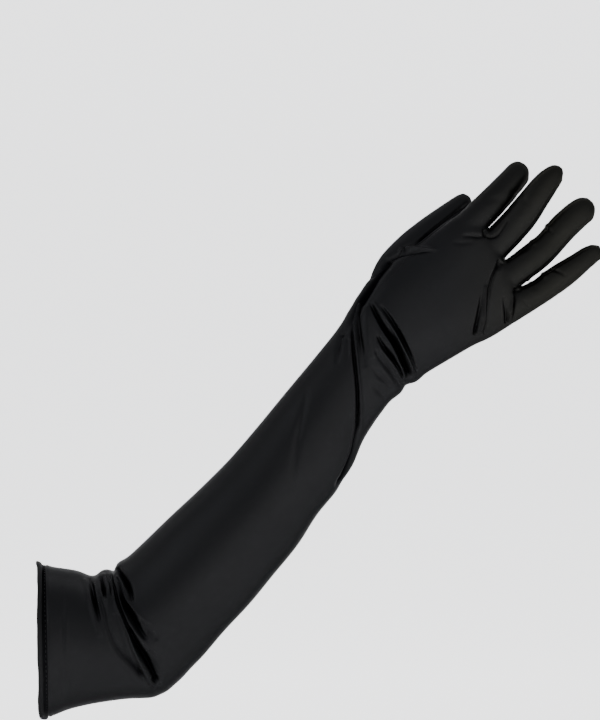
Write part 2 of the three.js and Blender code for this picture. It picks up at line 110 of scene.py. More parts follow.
class Face(Enum):
    """The side of the glove that a fold lies on."""

    FRONT = "front"
    BACK = "back"
    ROUND = "round"


@dataclass(frozen=True)
class Fold:
    """A groove or a crest in the cloth, along a line seen square to the picture plane, in millimetres.

    Attributes:
        line: Points (x, z) that the fold runs through.
        width: Half its width at its start, its middle and its end.
        drop: Its depth at those places, below zero for a crest.
        face: The side of the glove that it lies on.
        shape: The power of its profile: GROOVE is round and CREST is sharp.
    """

    line: tuple[tuple[float, float], ...]
    width: tuple[float, float, float]
    drop: tuple[float, float, float]
    face: Face = Face.FRONT
    shape: float = GROOVE

    def height(self, places: np.ndarray) -> np.ndarray:
        """Works out how far this fold moves the cloth out at each place.

        Args:
            places: Points (x, z), one row each.

        Returns:
            The height at each point, below zero in a groove.
        """
        distance, share = signed_distance(places, smooth_rows(np.array(self.line), 4))
        width = np.interp(share, FOLD_STATIONS, self.width)
        drop = np.interp(share, FOLD_STATIONS, self.drop)
        ends = smoothstep(share, *FOLD_FADE) * smoothstep(1.0 - share, *FOLD_FADE)
        return -drop * np.exp(-((np.abs(distance) / width) ** self.shape)) * ends


SKIN_NODES = (
    "upper_sleeve", "forearm_sleeve", "hand", "thumb", "index_finger", "middle_finger", "ring_finger",
    "little_finger", "fourchette_index_middle", "fourchette_middle_ring", "fourchette_ring_little",
)

SLEEVE_ROWS = np.array([
    # inner edge x, z; outer edge x, z; half depth; y of the middle; lean; squareness, 2 for an ellipse
    (0, 51, 2, -51.6, 45, 0, 6.2, 2), (8, 48, 10, -49.5, 44, 0, 5.4, 2),
    (17.5, 46.5, 20, -45.5, 43, 0, 4.2, 2), (26.5, 45, 34.5, -42, 42, 0, 2.6, 2),
    (34.5, 41.5, 48, -39.8, 41.5, 0, 1.2, 2), (39.5, 42.5, 57.5, -38.4, 41, 0, 0.4, 2.1),
    (42.5, 45.5, 66, -37.9, 41, 0, 0, 2.1), (45.5, 46, 72.6, -37.8, 40.5, 0, 0, 2.1),
    (47.5, 45.5, 77.8, -37.3, 40.5, 0, 0, 2.1), (49, 44.5, 81.9, -35.5, 40, 0, 0, 2.1),
    (50.5, 44, 86, -33.6, 40, 0, 0, 2.1), (51.5, 45.5, 90.6, -29.6, 39.5, 0, 0, 2.1),
    (52.5, 49, 96.1, -24.5, 39.5, 0, 0, 2.1), (54.5, 51.5, 102.6, -17.4, 39, 0, 0, 2),
    (60, 54.5, 110.6, -9.2, 38.5, 0, 0, 2), (71.5, 65, 124.6, 7.3, 37, 0, 0, 2),
    (88, 81, 140.9, 24.6, 35.5, 0, 0, 2), (108, 99.5, 157.1, 44.3, 33.5, 0, 0, 2),
    (128, 119.5, 172.5, 63.2, 31, 0, 0, 2), (146.5, 141, 185.5, 83.5, 28.5, 0, 0, 2),
    (162.5, 160.5, 197.7, 98.4, 26, 0, 0, 2.1), (177.5, 178.5, 208.7, 115.1, 24, 0, 0, 2.1),
    (189.5, 193, 215.3, 131.5, 22, 0, 0, 2.1), (198, 203.5, 222.6, 143.6, 21, 0, 0, 2.2),
    (203.5, 211.5, 229.1, 152.6, 20.5, 0, 0, 2.2), (206.5, 217.5, 234.5, 159.4, 20, 0, 0, 2.2),
    (209.5, 222.5, 241.8, 165, 19.5, 0, 0, 2.2), (212, 227, 244.6, 170.3, 19, 0, 0, 2.2),
    (215.5, 232, 251.7, 172.1, 19, 0.5, 0, 2.2), (220, 238.5, 258, 177.6, 19, 1, 0, 2.2),
    (226.5, 245.5, 269.3, 184.4, 18.5, 1.5, 0, 2.3), (236, 252.5, 280.1, 190.6, 18, 2, 0, 2.3),
    (247.5, 260, 290, 196.3, 17, 2, 0, 2.4), (259.5, 268.5, 299.8, 200.9, 16, 1.5, 0, 2.4),
    (270.5, 277, 308.3, 205.9, 14.5, 1, 0, 2.4), (279.5, 282, 314.4, 210.6, 13, 0.5, 0, 2.4),
    (287, 281.5, 318.4, 218.1, 11.5, 0.2, 0, 2.4), (292, 280.5, 321.4, 224.3, 9, 0, 0, 2.3),
    (295, 279, 322.6, 227.7, 5.5, 0, 0, 2),
], dtype=float)

DIGIT_ROWS = {
    # x, y, z, half width, half depth
    "index": (
        (278, 0, 266.5, 9.7, 9.5), (290.2, 1, 279, 9.8, 9),
        (299.4, 3, 287.9, 9.6, 8.6), (308, 6, 296.7, 9.2, 8.3),
        (317.4, 10, 306.9, 8.5, 7.6), (322.4, 12.5, 312.8, 7.9, 6),
        (325.3, 14, 315.4, 5.2, 3.5),
    ),
    "middle": (
        (293.1, 0, 250.4, 10.3, 10), (305.3, 0.5, 263.6, 10.4, 9.2),
        (314.6, 0, 273.2, 10.2, 8.8), (323.4, -1, 283.4, 10, 8.5),
        (331.4, -1.5, 294.4, 9, 8), (339, -1, 304.3, 8, 6.4),
        (345.4, 0, 310.6, 6.3, 4.4), (348.8, 0.5, 312, 3.8, 2.4),
    ),
    "ring": (
        (301.5, 0, 233, 9.7, 9.5), (313.6, 0.5, 242, 9.8, 9),
        (320.3, 1, 247, 9.5, 8.6), (331.7, 2, 255.6, 9.6, 8.2),
        (340.7, 3, 263.6, 9, 8), (350.6, 4, 274.9, 9.2, 7.8),
        (360.5, 5, 283.9, 9, 6.8), (367.2, 6, 288.2, 8, 4.8),
        (370.3, 6.5, 289.6, 4.2, 2.6),
    ),
    "little": (
        (307.4, 0, 215.9, 8.9, 8), (323.8, 1, 225.9, 8.8, 7.8),
        (334.4, 2, 231.7, 8, 7.4), (342.8, 3, 237.9, 8.5, 7),
        (352.1, 4, 244.2, 8.2, 6.6), (360.8, 5, 250.5, 7.2, 5.8),
        (369.2, 6, 256.6, 6.5, 3.8), (375.4, 6.5, 258.5, 5.5, 2),
    ),
    "thumb": (
        (231.8, 3, 236.3, 11.4, 9), (238.7, 7, 248.2, 11.9, 10),
        (249.7, 14, 260.7, 11.2, 10), (260.5, 20.5, 271.1, 10.1, 9.6),
        (271.8, 25.5, 280.5, 9.1, 9), (280.8, 28.5, 288.6, 7.5, 7.4),
        (285.9, 30, 293.9, 6, 5.4), (288.2, 30.8, 297.2, 4.3, 3),
    ),
}

FOLDS = (
    # the crests that fan out of the elbow's crook
    Fold(((47.3, 44.3), (48.3, 40.3), (49.3, 36.3), (50.1, 31), (50.9, 26.3), (52.7, 21), (55, 16), (59, 6.3),
        (62.7, -3.7), (66.7, -13), (69, -17.7), (72, -23.7), (75.3, -29), (78.7, -33)), (0.8, 1.2, 1.5),
        (-1, -2, -1.7), Face.ROUND, CREST),
    Fold(((50, 44.3), (51.3, 39.7), (52.5, 35.7), (53.7, 31), (54.7, 26.3), (56.3, 21), (58.2, 16.3),
        (60.7, 11), (63.5, 6.3), (66.7, 2.3), (70, -1), (73.3, -4), (77.3, -7.3), (83.3, -11)), (0.8, 1.1, 2),
        (-1, -2, -0.5), shape=CREST),
    Fold(((52.7, 43.7), (54.3, 40.3), (56, 36.3), (57.3, 31), (59, 26.3), (62, 22.3), (65.3, 18.3),
        (68.7, 15), (74, 10.3), (79.3, 7)), (0.8, 1.2, 2), (-1, -1.9, -0.2), Face.ROUND, CREST),
    Fold(((43.3, 44.3), (45.3, 40.3), (46.7, 36.3), (47, 26.3), (46.9, 18.3), (48, 11.7)), (1, 1.5, 2),
        (-0.7, -1.1, -0.3), Face.ROUND),
    Fold(((30.7, 41), (32, 36.3), (34.7, 26.3), (37.3, 16.3), (40, 6.3), (41.3, 1)), (1.2, 1.5, 1.6),
        (-0.4, -1.2, -0.2), Face.ROUND),
    Fold(((37.7, 38.3), (38.7, 33), (40, 26.3), (41.8, 18.3), (43.3, 11.7)), (0.7, 0.9, 0.9), (-0.4, -1, 0)),
    # the grooves between them
    Fold(((47.7, 44.3), (49.3, 39.7), (50.7, 35.7), (51.7, 31), (52.9, 26.3), (54.5, 21), (56.5, 16.3),
        (58.3, 11.7), (60.2, 7.7), (61.9, 4.3)), (0.6, 0.8, 1), (0.8, 2.4, 2.6), shape=CREST),
    Fold(((45.3, 43), (47.3, 39.7), (48.8, 35.7), (49.7, 31), (50.5, 26.3), (51.3, 21)), (0.6, 0.8, 0.7),
        (1.2, 2, 0), shape=CREST),
    Fold(((61, 8.3), (63.7, 1), (67, -5), (70, -9.7), (72.7, -14.3), (75, -19), (77.7, -24.3), (80.7, -30.3)),
        (1, 2.3, 2.2), (2.2, 4.4, 2.8), Face.ROUND),
    Fold(((72.7, -7), (76.7, -12.3), (80, -19), (81.3, -23.7)), (2.4, 4, 2.6), (0.8, 1.5, 1.2)),
    Fold(((52, 41.7), (54.7, 36.3), (55.9, 31), (57, 26.3), (59.3, 22), (62, 17.7), (64.3, 13), (66.7, 8.3),
        (69.7, 3.7), (72.7, -0.3)), (0.7, 1.8, 1.3), (1.2, 4.2, 1.4), Face.ROUND),
    Fold(((67.3, 11.7), (72, 7), (76, 3), (80, -0.3)), (2, 3.2, 2.4), (1, 1.7, 1)),
    Fold(((52.3, 48.3), (54.7, 44.3), (57.7, 39.7), (60.3, 34.3), (62, 29), (62.7, 25)), (1.8, 1.9, 1.1),
        (2.4, 3.4, 1), Face.ROUND),
    Fold(((41.7, 42.3), (42.9, 36.3), (44, 31), (45, 26.3)), (0.9, 1.4, 0.9), (1.6, 3.4, 0.4), Face.ROUND),
    Fold(((34, 41.7), (35.7, 36.3), (36.7, 31), (37.7, 26.3), (39, 21), (40.3, 16.3), (41.3, 11.7)),
        (0.9, 1.1, 1), (0.6, 2.9, 0.8), Face.ROUND),
    Fold(((40, 33), (41.5, 26.3), (42.9, 21), (44.1, 16.3), (45.3, 11), (47, 6.3), (49, 1), (51.7, -4.3),
        (55.3, -10.3), (59.3, -15), (63.3, -19.7), (68, -25), (72.7, -31.7)), (0.8, 1.9, 2.8),
        (0.8, 1.6, 1.6)),
    Fold(((51.3, 18.3), (53.3, 9), (56, -0.3), (59.3, -9), (64.7, -17.7), (70, -25.7)), (2.2, 3.6, 2.2),
        (0.6, 1.4, 1.2)),
    Fold(((76, -26.3), (78, -28.3), (80, -30.3)), (0.8, 0.9, 0.8), (0.5, 1.2, 0.3)),
    # the crests that fan out across the wrist
    Fold(((224, 225), (227.3, 220), (231, 215), (234.3, 210.3), (237.7, 205), (241, 199), (243.7, 193.7),
        (246.7, 187.7), (249, 182.3), (251.3, 176.3)), (0.9, 1.1, 1.1), (-0.9, -2.1, -1.8), Face.ROUND,
        CREST),
    Fold(((228, 208.3), (231.3, 203), (234.3, 198.3), (237, 193), (239.3, 187.7), (241.3, 183),
        (243.3, 178.3), (244.7, 173)), (1.6, 1.7, 1.2), (-0.3, -1.3, -1.1), Face.ROUND),
    Fold(((226, 199), (228.3, 193.7), (231.7, 189.7), (235, 185.7), (238.3, 181), (241, 176.3),
        (243.7, 170.3)), (1, 1.1, 1), (-0.5, -1.4, -1.2), Face.ROUND, CREST),
    Fold(((218, 224.3), (219, 213), (220, 203), (222, 194.3), (224.7, 187.7)), (3, 3.2, 2.6),
        (-0.8, -1.5, -0.8)),
    # the grooves between them
    Fold(((221.3, 225), (223.9, 219.7), (226.5, 215), (229.5, 209.7), (233, 204.3), (236.9, 199),
        (239.9, 193.7), (242.3, 188.3), (244.3, 183.7), (246.3, 179), (247.7, 173.7)), (1, 1.6, 1.8),
        (1.6, 4.2, 3), Face.ROUND),
    Fold(((228, 223.7), (232, 218.3), (235, 214.3), (238.3, 209), (241.7, 203), (244.3, 197.7), (247, 192.3),
        (249, 187.7), (251, 182.3), (253, 177.7)), (0.8, 1.2, 0.8), (1, 3, 1), Face.ROUND),
    Fold(((226.3, 203), (228.7, 198.3), (231.7, 193.7), (235, 189), (238.3, 184.3), (241, 179.7),
        (243, 174.3)), (0.8, 1.3, 1), (1.4, 3.2, 2), Face.ROUND),
    Fold(((224.7, 193), (228, 187.7), (232, 183), (236, 177.7), (239.3, 172.3), (242, 168.3)), (1.4, 2.4, 2),
        (0.8, 1.8, 1.3), Face.ROUND),
    Fold(((223.3, 181.7), (227.3, 176.3), (232, 172.3), (236, 168.3)), (1.5, 2.1, 1.6), (0.4, 1.5, 0.9),
        Face.ROUND),
    Fold(((222.7, 170.3), (227.3, 166.3), (232, 161)), (2, 2.6, 2), (0.3, 1.2, 0.8)),
    # the long overlap down the forearm's outer edge, and what lies beside it
    Fold(((209, 211.7), (209.3, 203), (210.1, 193), (211.1, 185), (212.2, 176.3), (213.2, 166.3),
        (213.5, 156.3), (213.5, 146.3), (213.2, 139.7), (212.1, 133), (210.9, 126.3), (208.8, 119.7),
        (206, 113), (202.7, 106.3), (198.3, 101)), (0.85, 0.95, 2), (2.4, 3, 3.2), shape=CREST),
    Fold(((213.3, 226.3), (211.9, 221), (211.1, 215.7), (211.2, 206.3), (212, 196.3), (212.9, 186.3),
        (213.7, 176.3), (214.5, 166.3), (215, 156.3), (215.1, 146.3), (214.7, 138.3)), (0.8, 1, 1.2),
        (-2, -2.2, -0.9), shape=CREST),
    Fold(((213.2, 221), (213.5, 214.3), (214.1, 206.3), (215.6, 196.3), (217.1, 187.7), (218.3, 181)),
        (0.8, 1.1, 1.8), (0.8, 1.9, 0.3)),
    Fold(((202.7, 204.3), (200.7, 197.7), (199.5, 190.3), (198.7, 183)), (1.6, 1.7, 1.2), (1.4, 1.6, 0)),
    Fold(((206.7, 201), (206.3, 193), (206.3, 185)), (1.4, 1.4, 1.2), (0.8, 0.8, 0)),
    Fold(((180, 169), (176.7, 151.7), (173.3, 135), (170.7, 116.3), (169.3, 96.3)), (1.6, 2.2, 2.4),
        (0.3, 1, 0.1)),
    # the roots of the ring and little fingers
    Fold(((308, 253.7), (306.7, 249.7), (304.3, 245), (302.3, 239.7), (301.1, 234.3), (300.5, 229),
        (300, 223.7), (299.7, 219)), (0.9, 0.7, 0.6), (2.2, 1.8, 0.3), shape=CREST),
    Fold(((299, 236.3), (298.5, 231.7), (298.2, 226.3), (297.9, 221), (297.5, 213), (296.3, 209),
        (295.3, 204.3)), (1, 1.1, 0.9), (-1, -2.2, -1.8), shape=CREST),
    Fold(((296.7, 233), (295.7, 227.7), (295, 223), (294.2, 217.7), (293.3, 213), (292.3, 208.3),
        (291.3, 202.3)), (0.9, 1.2, 1.3), (0.3, 1.8, 2.8)),
    Fold(((300, 213), (298.7, 207.7), (297.7, 203)), (0.8, 0.8, 0.9), (0.1, 0.6, 1.4)),
    Fold(((320, 234.3), (318.9, 231.7), (317.9, 228.3), (317.2, 224.3), (316.7, 219.7), (316.3, 214.3),
        (316, 210.3)), (1.6, 0.8, 0.8), (2.8, 2.2, 1.8), shape=CREST),
    Fold(((317, 231), (315.9, 225.7), (315.3, 220.3), (314.9, 215), (314.7, 211.7)), (0.8, 1, 0.9),
        (-1, -2.2, -1.8), shape=CREST),
    Fold(((310.7, 229), (311.3, 223.7), (312, 219), (312.3, 214.3), (312, 210.3)), (1.2, 1.1, 1.1),
        (0.2, 1.6, 2.2)),
    Fold(((310, 251.7), (308, 249), (306, 246.3)), (1.4, 1.5, 1.2), (1.6, 1.6, 0.3)),
    # the gap between index and middle finger
    Fold(((297.3, 273.7), (299, 269.7), (302.7, 268.3), (306.7, 270.3), (310, 275), (313.3, 280.3)),
        (1, 1.1, 1), (1.8, 1.6, 0.6)),
    Fold(((282.7, 269), (288, 269.3), (293.3, 268.7), (298.7, 269.7)), (1.2, 1.4, 1.3), (0.3, 1.5, 1.2)),
    Fold(((276, 265), (282.7, 264.3), (290.7, 265)), (1.4, 1.4, 1.4), (0.1, 0.5, 0.1)),
    # the fold over the thumb's root
    Fold(((240, 258.7), (244.7, 259.7), (250, 260.3), (255.3, 260.6), (261.3, 260.3), (266, 259.9)),
        (1.1, 1.3, 1.3), (-2.2, -2.8, -0.4), shape=CREST),
    Fold(((232, 251.7), (235.3, 254), (239.3, 255.7), (244, 257), (249.3, 257.8), (254.7, 258.7), (260, 259),
        (264.7, 258.7)), (1.4, 1.1, 1), (1, 2.6, 0.1)),
    # the shade where the thumb goes behind the hand
    Fold(((288, 290.7), (282.7, 287), (279, 284.3), (273.3, 280), (268, 275.7), (262.7, 271.7), (258, 267.7),
        (253.3, 264.3), (247.3, 262.3), (242, 261.7)), (1.2, 1.5, 1.1), (0.7, 1.5, 1.3)),
    # the fingers' own wrinkles
    Fold(((326.7, 267.3), (328.7, 265), (330.7, 262.3)), (1.3, 1.5, 1.2), (-0.7, -0.8, 0), Face.ROUND),
    Fold(((337.3, 278), (339.7, 275.7), (342, 273)), (1, 1.2, 1), (-0.5, -0.7, 0), Face.ROUND),
    Fold(((326.7, 240.3), (328.7, 237.7), (330.7, 235)), (1.2, 1.3, 1.2), (-0.6, -0.7, 0), Face.ROUND),
    Fold(((335.3, 245.3), (337.3, 242.7), (339.3, 240.3)), (1, 1.2, 1), (-0.5, -0.7, 0), Face.ROUND),
    Fold(((336.7, 275), (340.7, 273), (343.3, 269.7)), (1.2, 1.3, 1.2), (0.9, 0.6, 0)),
    Fold(((326.7, 266.3), (330, 263), (332, 259.7)), (1.2, 1.2, 1.2), (0.7, 0.5, 0)),
    Fold(((314, 254.3), (319.3, 257), (324.7, 259.7), (328.7, 261.7)), (1, 1, 1), (0.3, 0.5, 0.2)),
    Fold(((338.7, 246.3), (343.3, 246.7), (348, 245), (352.7, 241.7)), (1, 1.2, 1), (0.5, 1.3, 0.1)),
    Fold(((327.3, 239), (330, 236.3), (332, 232.3)), (1.1, 1.2, 1.1), (0.8, 0.6, 0)),
    Fold(((323.3, 226.3), (326.7, 223), (330, 220.3)), (1.2, 1.3, 1.2), (0.1, 0.6, 0.4)),
    Fold(((293.3, 295.7), (299.3, 293), (306, 293.7), (312, 291.7)), (2.2, 2.6, 2.2), (0.2, 0.5, 0.2)),
    Fold(((314.7, 299.7), (321.3, 295.7), (328, 289)), (1.8, 2, 1.8), (0.2, 0.5, 0.1)),
    Fold(((352, 271.7), (348, 266.3), (343.3, 261.7)), (1.8, 2.2, 1.8), (0.3, 0.5, 0.1)),
    # the hollow of the wrist behind the heel of the hand, its painted shade standing in for a cast shadow
    Fold(((234.7, 253.7), (230.7, 249), (225.3, 241.7), (220, 233.7), (214.7, 225.7), (210.7, 218.3),
        (207.3, 211.7), (204.7, 205.7), (202, 200.3)), (2.6, 4.4, 2.6), (2.2, 3.3, 0.3)),
    # faint lines beside the hem
    Fold(((19.3, 38.3), (19, 13), (19.3, -13.7), (20.7, -41.7)), (1.5, 1.6, 1.5), (-0.2, -0.3, -0.2)),
    Fold(((16.7, 36.3), (16.3, 6.3), (16.7, -40.3)), (1.2, 1.3, 1.2), (0.15, 0.2, 0.15)),
    # the palm side
    Fold(((222, 232), (234, 214), (247, 181)), (1.6, 2.2, 1.6), (0.8, 2.4, 1.6), Face.BACK),
    Fold(((212, 222), (224, 200), (241, 168)), (1.8, 2.4, 1.8), (0.6, 2, 1.4), Face.BACK),
    Fold(((201, 205), (214, 182), (231, 157)), (2, 3, 2.4), (0.4, 1.3, 0.8), Face.BACK),
    Fold(((228, 222), (238, 203), (250, 182)), (1, 1.1, 1), (-0.4, -1, -0.8), Face.BACK),
    Fold(((247, 262), (262, 244), (286, 236), (305, 216)), (2.6, 3.6, 2.6), (0.6, 1.8, 0.8), Face.BACK),
    Fold(((266, 268), (278, 262), (291, 262)), (1.4, 2, 1.4), (0.5, 1.4, 1), Face.BACK),
    Fold(((284, 250), (294, 252), (306, 260)), (1.4, 2, 1.4), (0.5, 1.5, 1.1), Face.BACK),
    Fold(((295, 236), (306, 236), (318, 241)), (1.4, 2, 1.4), (0.5, 1.4, 1), Face.BACK),
    Fold(((303, 218), (314, 219), (326, 223)), (1.4, 2, 1.4), (0.4, 1.2, 0.8), Face.BACK),
    Fold(((280, 257), (291, 257), (301, 262)), (0.9, 1.1, 0.9), (-0.3, -0.8, -0.4), Face.BACK),
    Fold(((290, 243), (301, 244), (312, 250)), (0.9, 1.1, 0.9), (-0.3, -0.8, -0.4), Face.BACK),
    Fold(((250, 246), (240, 228), (243, 203)), (3, 4.6, 3), (0.6, 1.8, 0.8), Face.BACK),
    Fold(((299, 297), (306, 289), (315, 287)), (1.2, 1.8, 1.2), (0.4, 0.9, 0.4), Face.BACK),
    Fold(((317, 290), (324, 283), (333, 281)), (1.2, 1.8, 1.2), (0.4, 0.9, 0.4), Face.BACK),
    Fold(((327, 266), (334, 259), (342, 256)), (1.2, 1.8, 1.2), (0.4, 0.9, 0.4), Face.BACK),
    Fold(((334, 244), (341, 238), (348, 236)), (1.2, 1.6, 1.2), (0.4, 0.8, 0.4), Face.BACK),
)


def smoothstep(value: np.ndarray, low: float, high: float) -> np.ndarray:
    """Eases each value from 0 at low to 1 at high."""
    share = np.clip((value - low) / (high - low), 0.0, 1.0)
    return share * share * (3.0 - 2.0 * share)


def bell(away: np.ndarray, width: float) -> np.ndarray:
    """Gives 1 at no distance away, and less than 0.02 from twice the width on."""
    return np.exp(-((away / width) ** 2))


def smooth_rows(rows: np.ndarray, steps: int) -> np.ndarray:
    """Fills a table in on a smooth curve through its rows.

    Args:
        rows: The table, one row for each place.
        steps: The number of rows that each row grows to.

    Returns:
        The longer table, which starts and ends with the first and last rows.
    """
    padded = np.vstack([rows[:1], rows, rows[-1:]])
    a, b, c, d = padded[:-3], padded[1:-2], padded[2:-1], padded[3:]
    share = (np.arange(steps) / steps)[None, :, None]
    s2, s3 = share**2, share**3
    slope_b, slope_c = (c - a)[:, None] / 2, (d - b)[:, None] / 2
    filled = (2 * s3 - 3 * s2 + 1) * b[:, None] + (s3 - 2 * s2 + share) * slope_b
    filled = filled + (3 * s2 - 2 * s3) * c[:, None] + (s3 - s2) * slope_c
    return np.vstack([filled.reshape(-1, rows.shape[1]), rows[-1:]])


def within(points: np.ndarray, line: np.ndarray, margin: float) -> np.ndarray:
    """Tells which points lie in the box round a line's own points, widened by a margin."""
    return np.all((points > line.min(axis=0) - margin) & (points < line.max(axis=0) + margin), axis=1)


def signed_distance(places: np.ndarray, line: np.ndarray) -> tuple[np.ndarray, np.ndarray]:
    """Measures how far each place lies from a line in the plane.

    Args:
        places: Points, one row each.
        line: The line's own points, one row each.

    Returns:
        The distances, above zero on the line's left, and the share of the line at which each place's foot
        lies.
    """
    starts, runs = line[:-1], np.diff(line, axis=0)
    lengths = (runs**2).sum(axis=1)
    best = np.full(len(places), np.inf)
    signed = np.zeros(len(places))
    share = np.zeros(len(places))
    for k, (start, run, length) in enumerate(zip(starts, runs, lengths)):
        offset = places - start
        foot = np.clip(offset @ run / length, 0.0, 1.0)
        away = offset - foot[:, None] * run
        distance = np.hypot(away[:, 0], away[:, 1])
        nearer = distance < best
        turn = run[0] * offset[:, 1] - run[1] * offset[:, 0]
        best = np.where(nearer, distance, best)
        signed = np.where(nearer, np.where(turn >= 0, distance, -distance), signed)
        share = np.where(nearer, (k + foot) / len(starts), share)
    return signed, share


def picture_plane(points: np.ndarray) -> np.ndarray:
    """Projects points on the plane through the origin that faces the camera.

    Args:
        points: Points (x, y, z) in millimetres.

    Returns:
        The places (x, z) where the camera sees them on that plane.
    """
    centre = np.array([VIEW_CENTRE[0], VIEW_CENTRE[2]])
    scale = CAMERA_DISTANCE / (CAMERA_DISTANCE + points[:, 1])
    return centre + (points[:, [0, 2]] - centre) * scale[:, None]


def sleeve_ring(row: np.ndarray, sides: int, grow: float = 0.0) -> np.ndarray:
    """Works out the points round one section of the sleeve.

    Args:
        row: The section, as in SLEEVE_ROWS.
        sides: The number of points.
        grow: How far the section is widened all round.

    Returns:
        The points (x, y, z), in millimetres.
    """
    in_x, in_z, out_x, out_z, depth, mid, lean, square = row
    angle = np.arange(sides) / sides * 2.0 * math.pi
    c, s = np.cos(angle), np.sin(angle)
    across = np.sign(c) * np.abs(c) ** (2.0 / square)
    deep = np.sign(s) * np.abs(s) ** (2.0 / square)
    half = np.array([out_x - in_x, 0.0, out_z - in_z]) / 2.0
    half = half * (1.0 + grow / np.linalg.norm(half))
    centre = np.array([(in_x + out_x) / 2.0, mid, (in_z + out_z) / 2.0])
    points = centre + across[:, None] * half
    points[:, 1] += deep * (depth + grow)
    points[:, 0] -= deep * lean
    return points


def from_free_edge(points: np.ndarray) -> np.ndarray:
    """Measures each point's distance from the hem's free edge, along the sleeve."""
    in_x, in_z, out_x, out_z, depth, _, lean, _ = SLEEVE_ROWS[0]
    across = (in_z - points[:, 2]) / (in_z - out_z)
    return points[:, 0] - in_x - (out_x - in_x) * across + points[:, 1] * lean / depth


@dataclass
class Digit:
    """A finger or the thumb of the glove.

    Attributes:
        name: Its name in DIGIT_ROWS.
        rows: Its filled-in table: x, y, z, half width and half depth.
    """

    name: str
    rows: np.ndarray = field(init=False)

    def __post_init__(self) -> None:
        """Fills the table in."""
        self.rows = smooth_rows(np.array(DIGIT_ROWS[self.name], dtype=float), DIGIT_STEPS)

    def directions(self) -> tuple[np.ndarray, np.ndarray, np.ndarray]:
        """Gives the unit vectors along, across and through the digit at each row."""
        along = np.gradient(self.rows[:, :3], axis=0)
        along /= np.linalg.norm(along, axis=1)[:, None]
        across = np.cross(np.array([0.0, 1.0, 0.0]), along)
        across /= np.linalg.norm(across, axis=1)[:, None]
        return along, across, np.cross(along, across)

    def rings(self) -> list[np.ndarray]:
        """Works out the points round each section, with the tip rounded off by one more ring."""
        along, across, deep = self.directions()
        angle = np.arange(DIGIT_SIDES) / DIGIT_SIDES * 2.0 * math.pi
        c, s = np.cos(angle)[:, None], np.sin(angle)[:, None]
        rings = [
            row[:3] + c * across[k] * (row[3] - SHRINK) + s * deep[k] * (row[4] - SHRINK)
            for k, row in enumerate(self.rows)
        ]
        last = self.rows[-1]
        tip = last[:3] + along[-1] * (last[3] * 0.3 - SHRINK)
        rings.append(tip + c * across[-1] * last[3] * 0.6 + s * deep[-1] * last[4] * 0.6)
        return rings

    def side_line(self, side: float, height: float, start: float, end: float) -> np.ndarray:
        """Gives a line along the digit's side, on its surface.

        Args:
            side: 1 for the side of the little finger, -1 for the side of the thumb.
            height: The line's distance from the middle, towards the palm, in millimetres.
            start: The share of the table at which it starts.
            end: The share at which it ends.

        Returns:
            The line's points, in millimetres.
        """
        _, across, deep = self.directions()
        first, last = (round(share * (len(self.rows) - 1)) for share in (start, end))
        points = []
        for k in range(first, last + 1):
            share = (k - first) / max(last - first, 1)
            up = height * (1.0 - 0.6 * share**3)
            half, thick = self.rows[k, 3], self.rows[k, 4]
            up = max(-0.9 * thick, min(0.9 * thick, up))
            out = half * math.sqrt(1.0 - (up / thick) ** 2)
            points.append(self.rows[k, :3] + across[k] * out * side + deep[k] * up)
        return np.array(points)


def add_loft(bm: bmesh.types.BMesh, rings: list[np.ndarray], closed: bool = False) -> None:
    """Adds a tube through rings of points, with its ends filled unless it closes on itself.

    Args:
        bm: The mesh that it is added to.
        rings: The points of each ring, in millimetres.
        closed: Whether the last ring joins the first.
    """
    loops = []
    for ring in rings:
        verts = bmesh.ops.create_circle(bm, segments=len(ring), radius=1.0)["verts"]
        for vert, point in zip(verts, ring):
            vert.co = point * MM
        loops.append(list({edge for vert in verts for edge in vert.link_edges}))
    pairs = list(zip(loops[:-1], loops[1:]))
    if closed:
        pairs.append((loops[-1], loops[0]))
    for one, other in pairs:
        bmesh.ops.bridge_loops(bm, edges=one + other)
    if not closed:
        for loop in (loops[0], loops[-1]):
            bmesh.ops.holes_fill(bm, edges=loop, sides=0)


def soften(bm: bmesh.types.BMesh, verts: list[bmesh.types.BMVert]) -> None:
    """Moves each of these points half way to the middle of its neighbours."""
    bmesh.ops.smooth_vert(bm, verts=verts, factor=0.5, use_axis_x=True, use_axis_y=True, use_axis_z=True)


def make_object(name: str, bm: bmesh.types.BMesh) -> bpy.types.Object:
    """Turns a bmesh into an object in the scene, smooth shaded, and frees it.

    Args:
        name: The object's name.
        bm: The mesh.

    Returns:
        The new object.
    """
    mesh = bpy.data.meshes.new(name)
    bm.to_mesh(mesh)
    bm.free()
    mesh.shade_smooth()
    made = bpy.data.objects.new(name, mesh)
    bpy.context.scene.collection.objects.link(made)
    return made


def settled(made: bpy.types.Object) -> bpy.types.Object:
    """Applies an object's modifiers to its mesh, and returns the object."""
    graph = bpy.context.evaluated_depsgraph_get()
    mesh = bpy.data.meshes.new_from_object(made.evaluated_get(graph))
    made.modifiers.clear()
    old = made.data
    made.data = mesh
    mesh.name = made.name
    bpy.data.meshes.remove(old)
    return made


def positions(mesh: bpy.types.Mesh) -> np.ndarray:
    """Reads a mesh's points, in millimetres."""
    flat = np.empty(len(mesh.vertices) * 3)
    mesh.vertices.foreach_get("co", flat)
    return flat.reshape(-1, 3) / MM


def normals(mesh: bpy.types.Mesh) -> np.ndarray:
    """Reads the outward direction at each of a mesh's points."""
    flat = np.empty(len(mesh.vertices) * 3)
    mesh.vertex_normals.foreach_get("vector", flat)
    return flat.reshape(-1, 3)


def place(mesh: bpy.types.Mesh, points: np.ndarray) -> None:
    """Moves a mesh's points to new places, given in millimetres."""
    mesh.vertices.foreach_set("co", (points * MM).ravel())
    mesh.update()


def set_sockets(node: bpy.types.Node, values: dict[str, float | tuple[float, ...]]) -> None:
    """Sets a node's own sockets to constant values, by their names."""
    for name, value in values.items():
        node.inputs[name].default_value = value


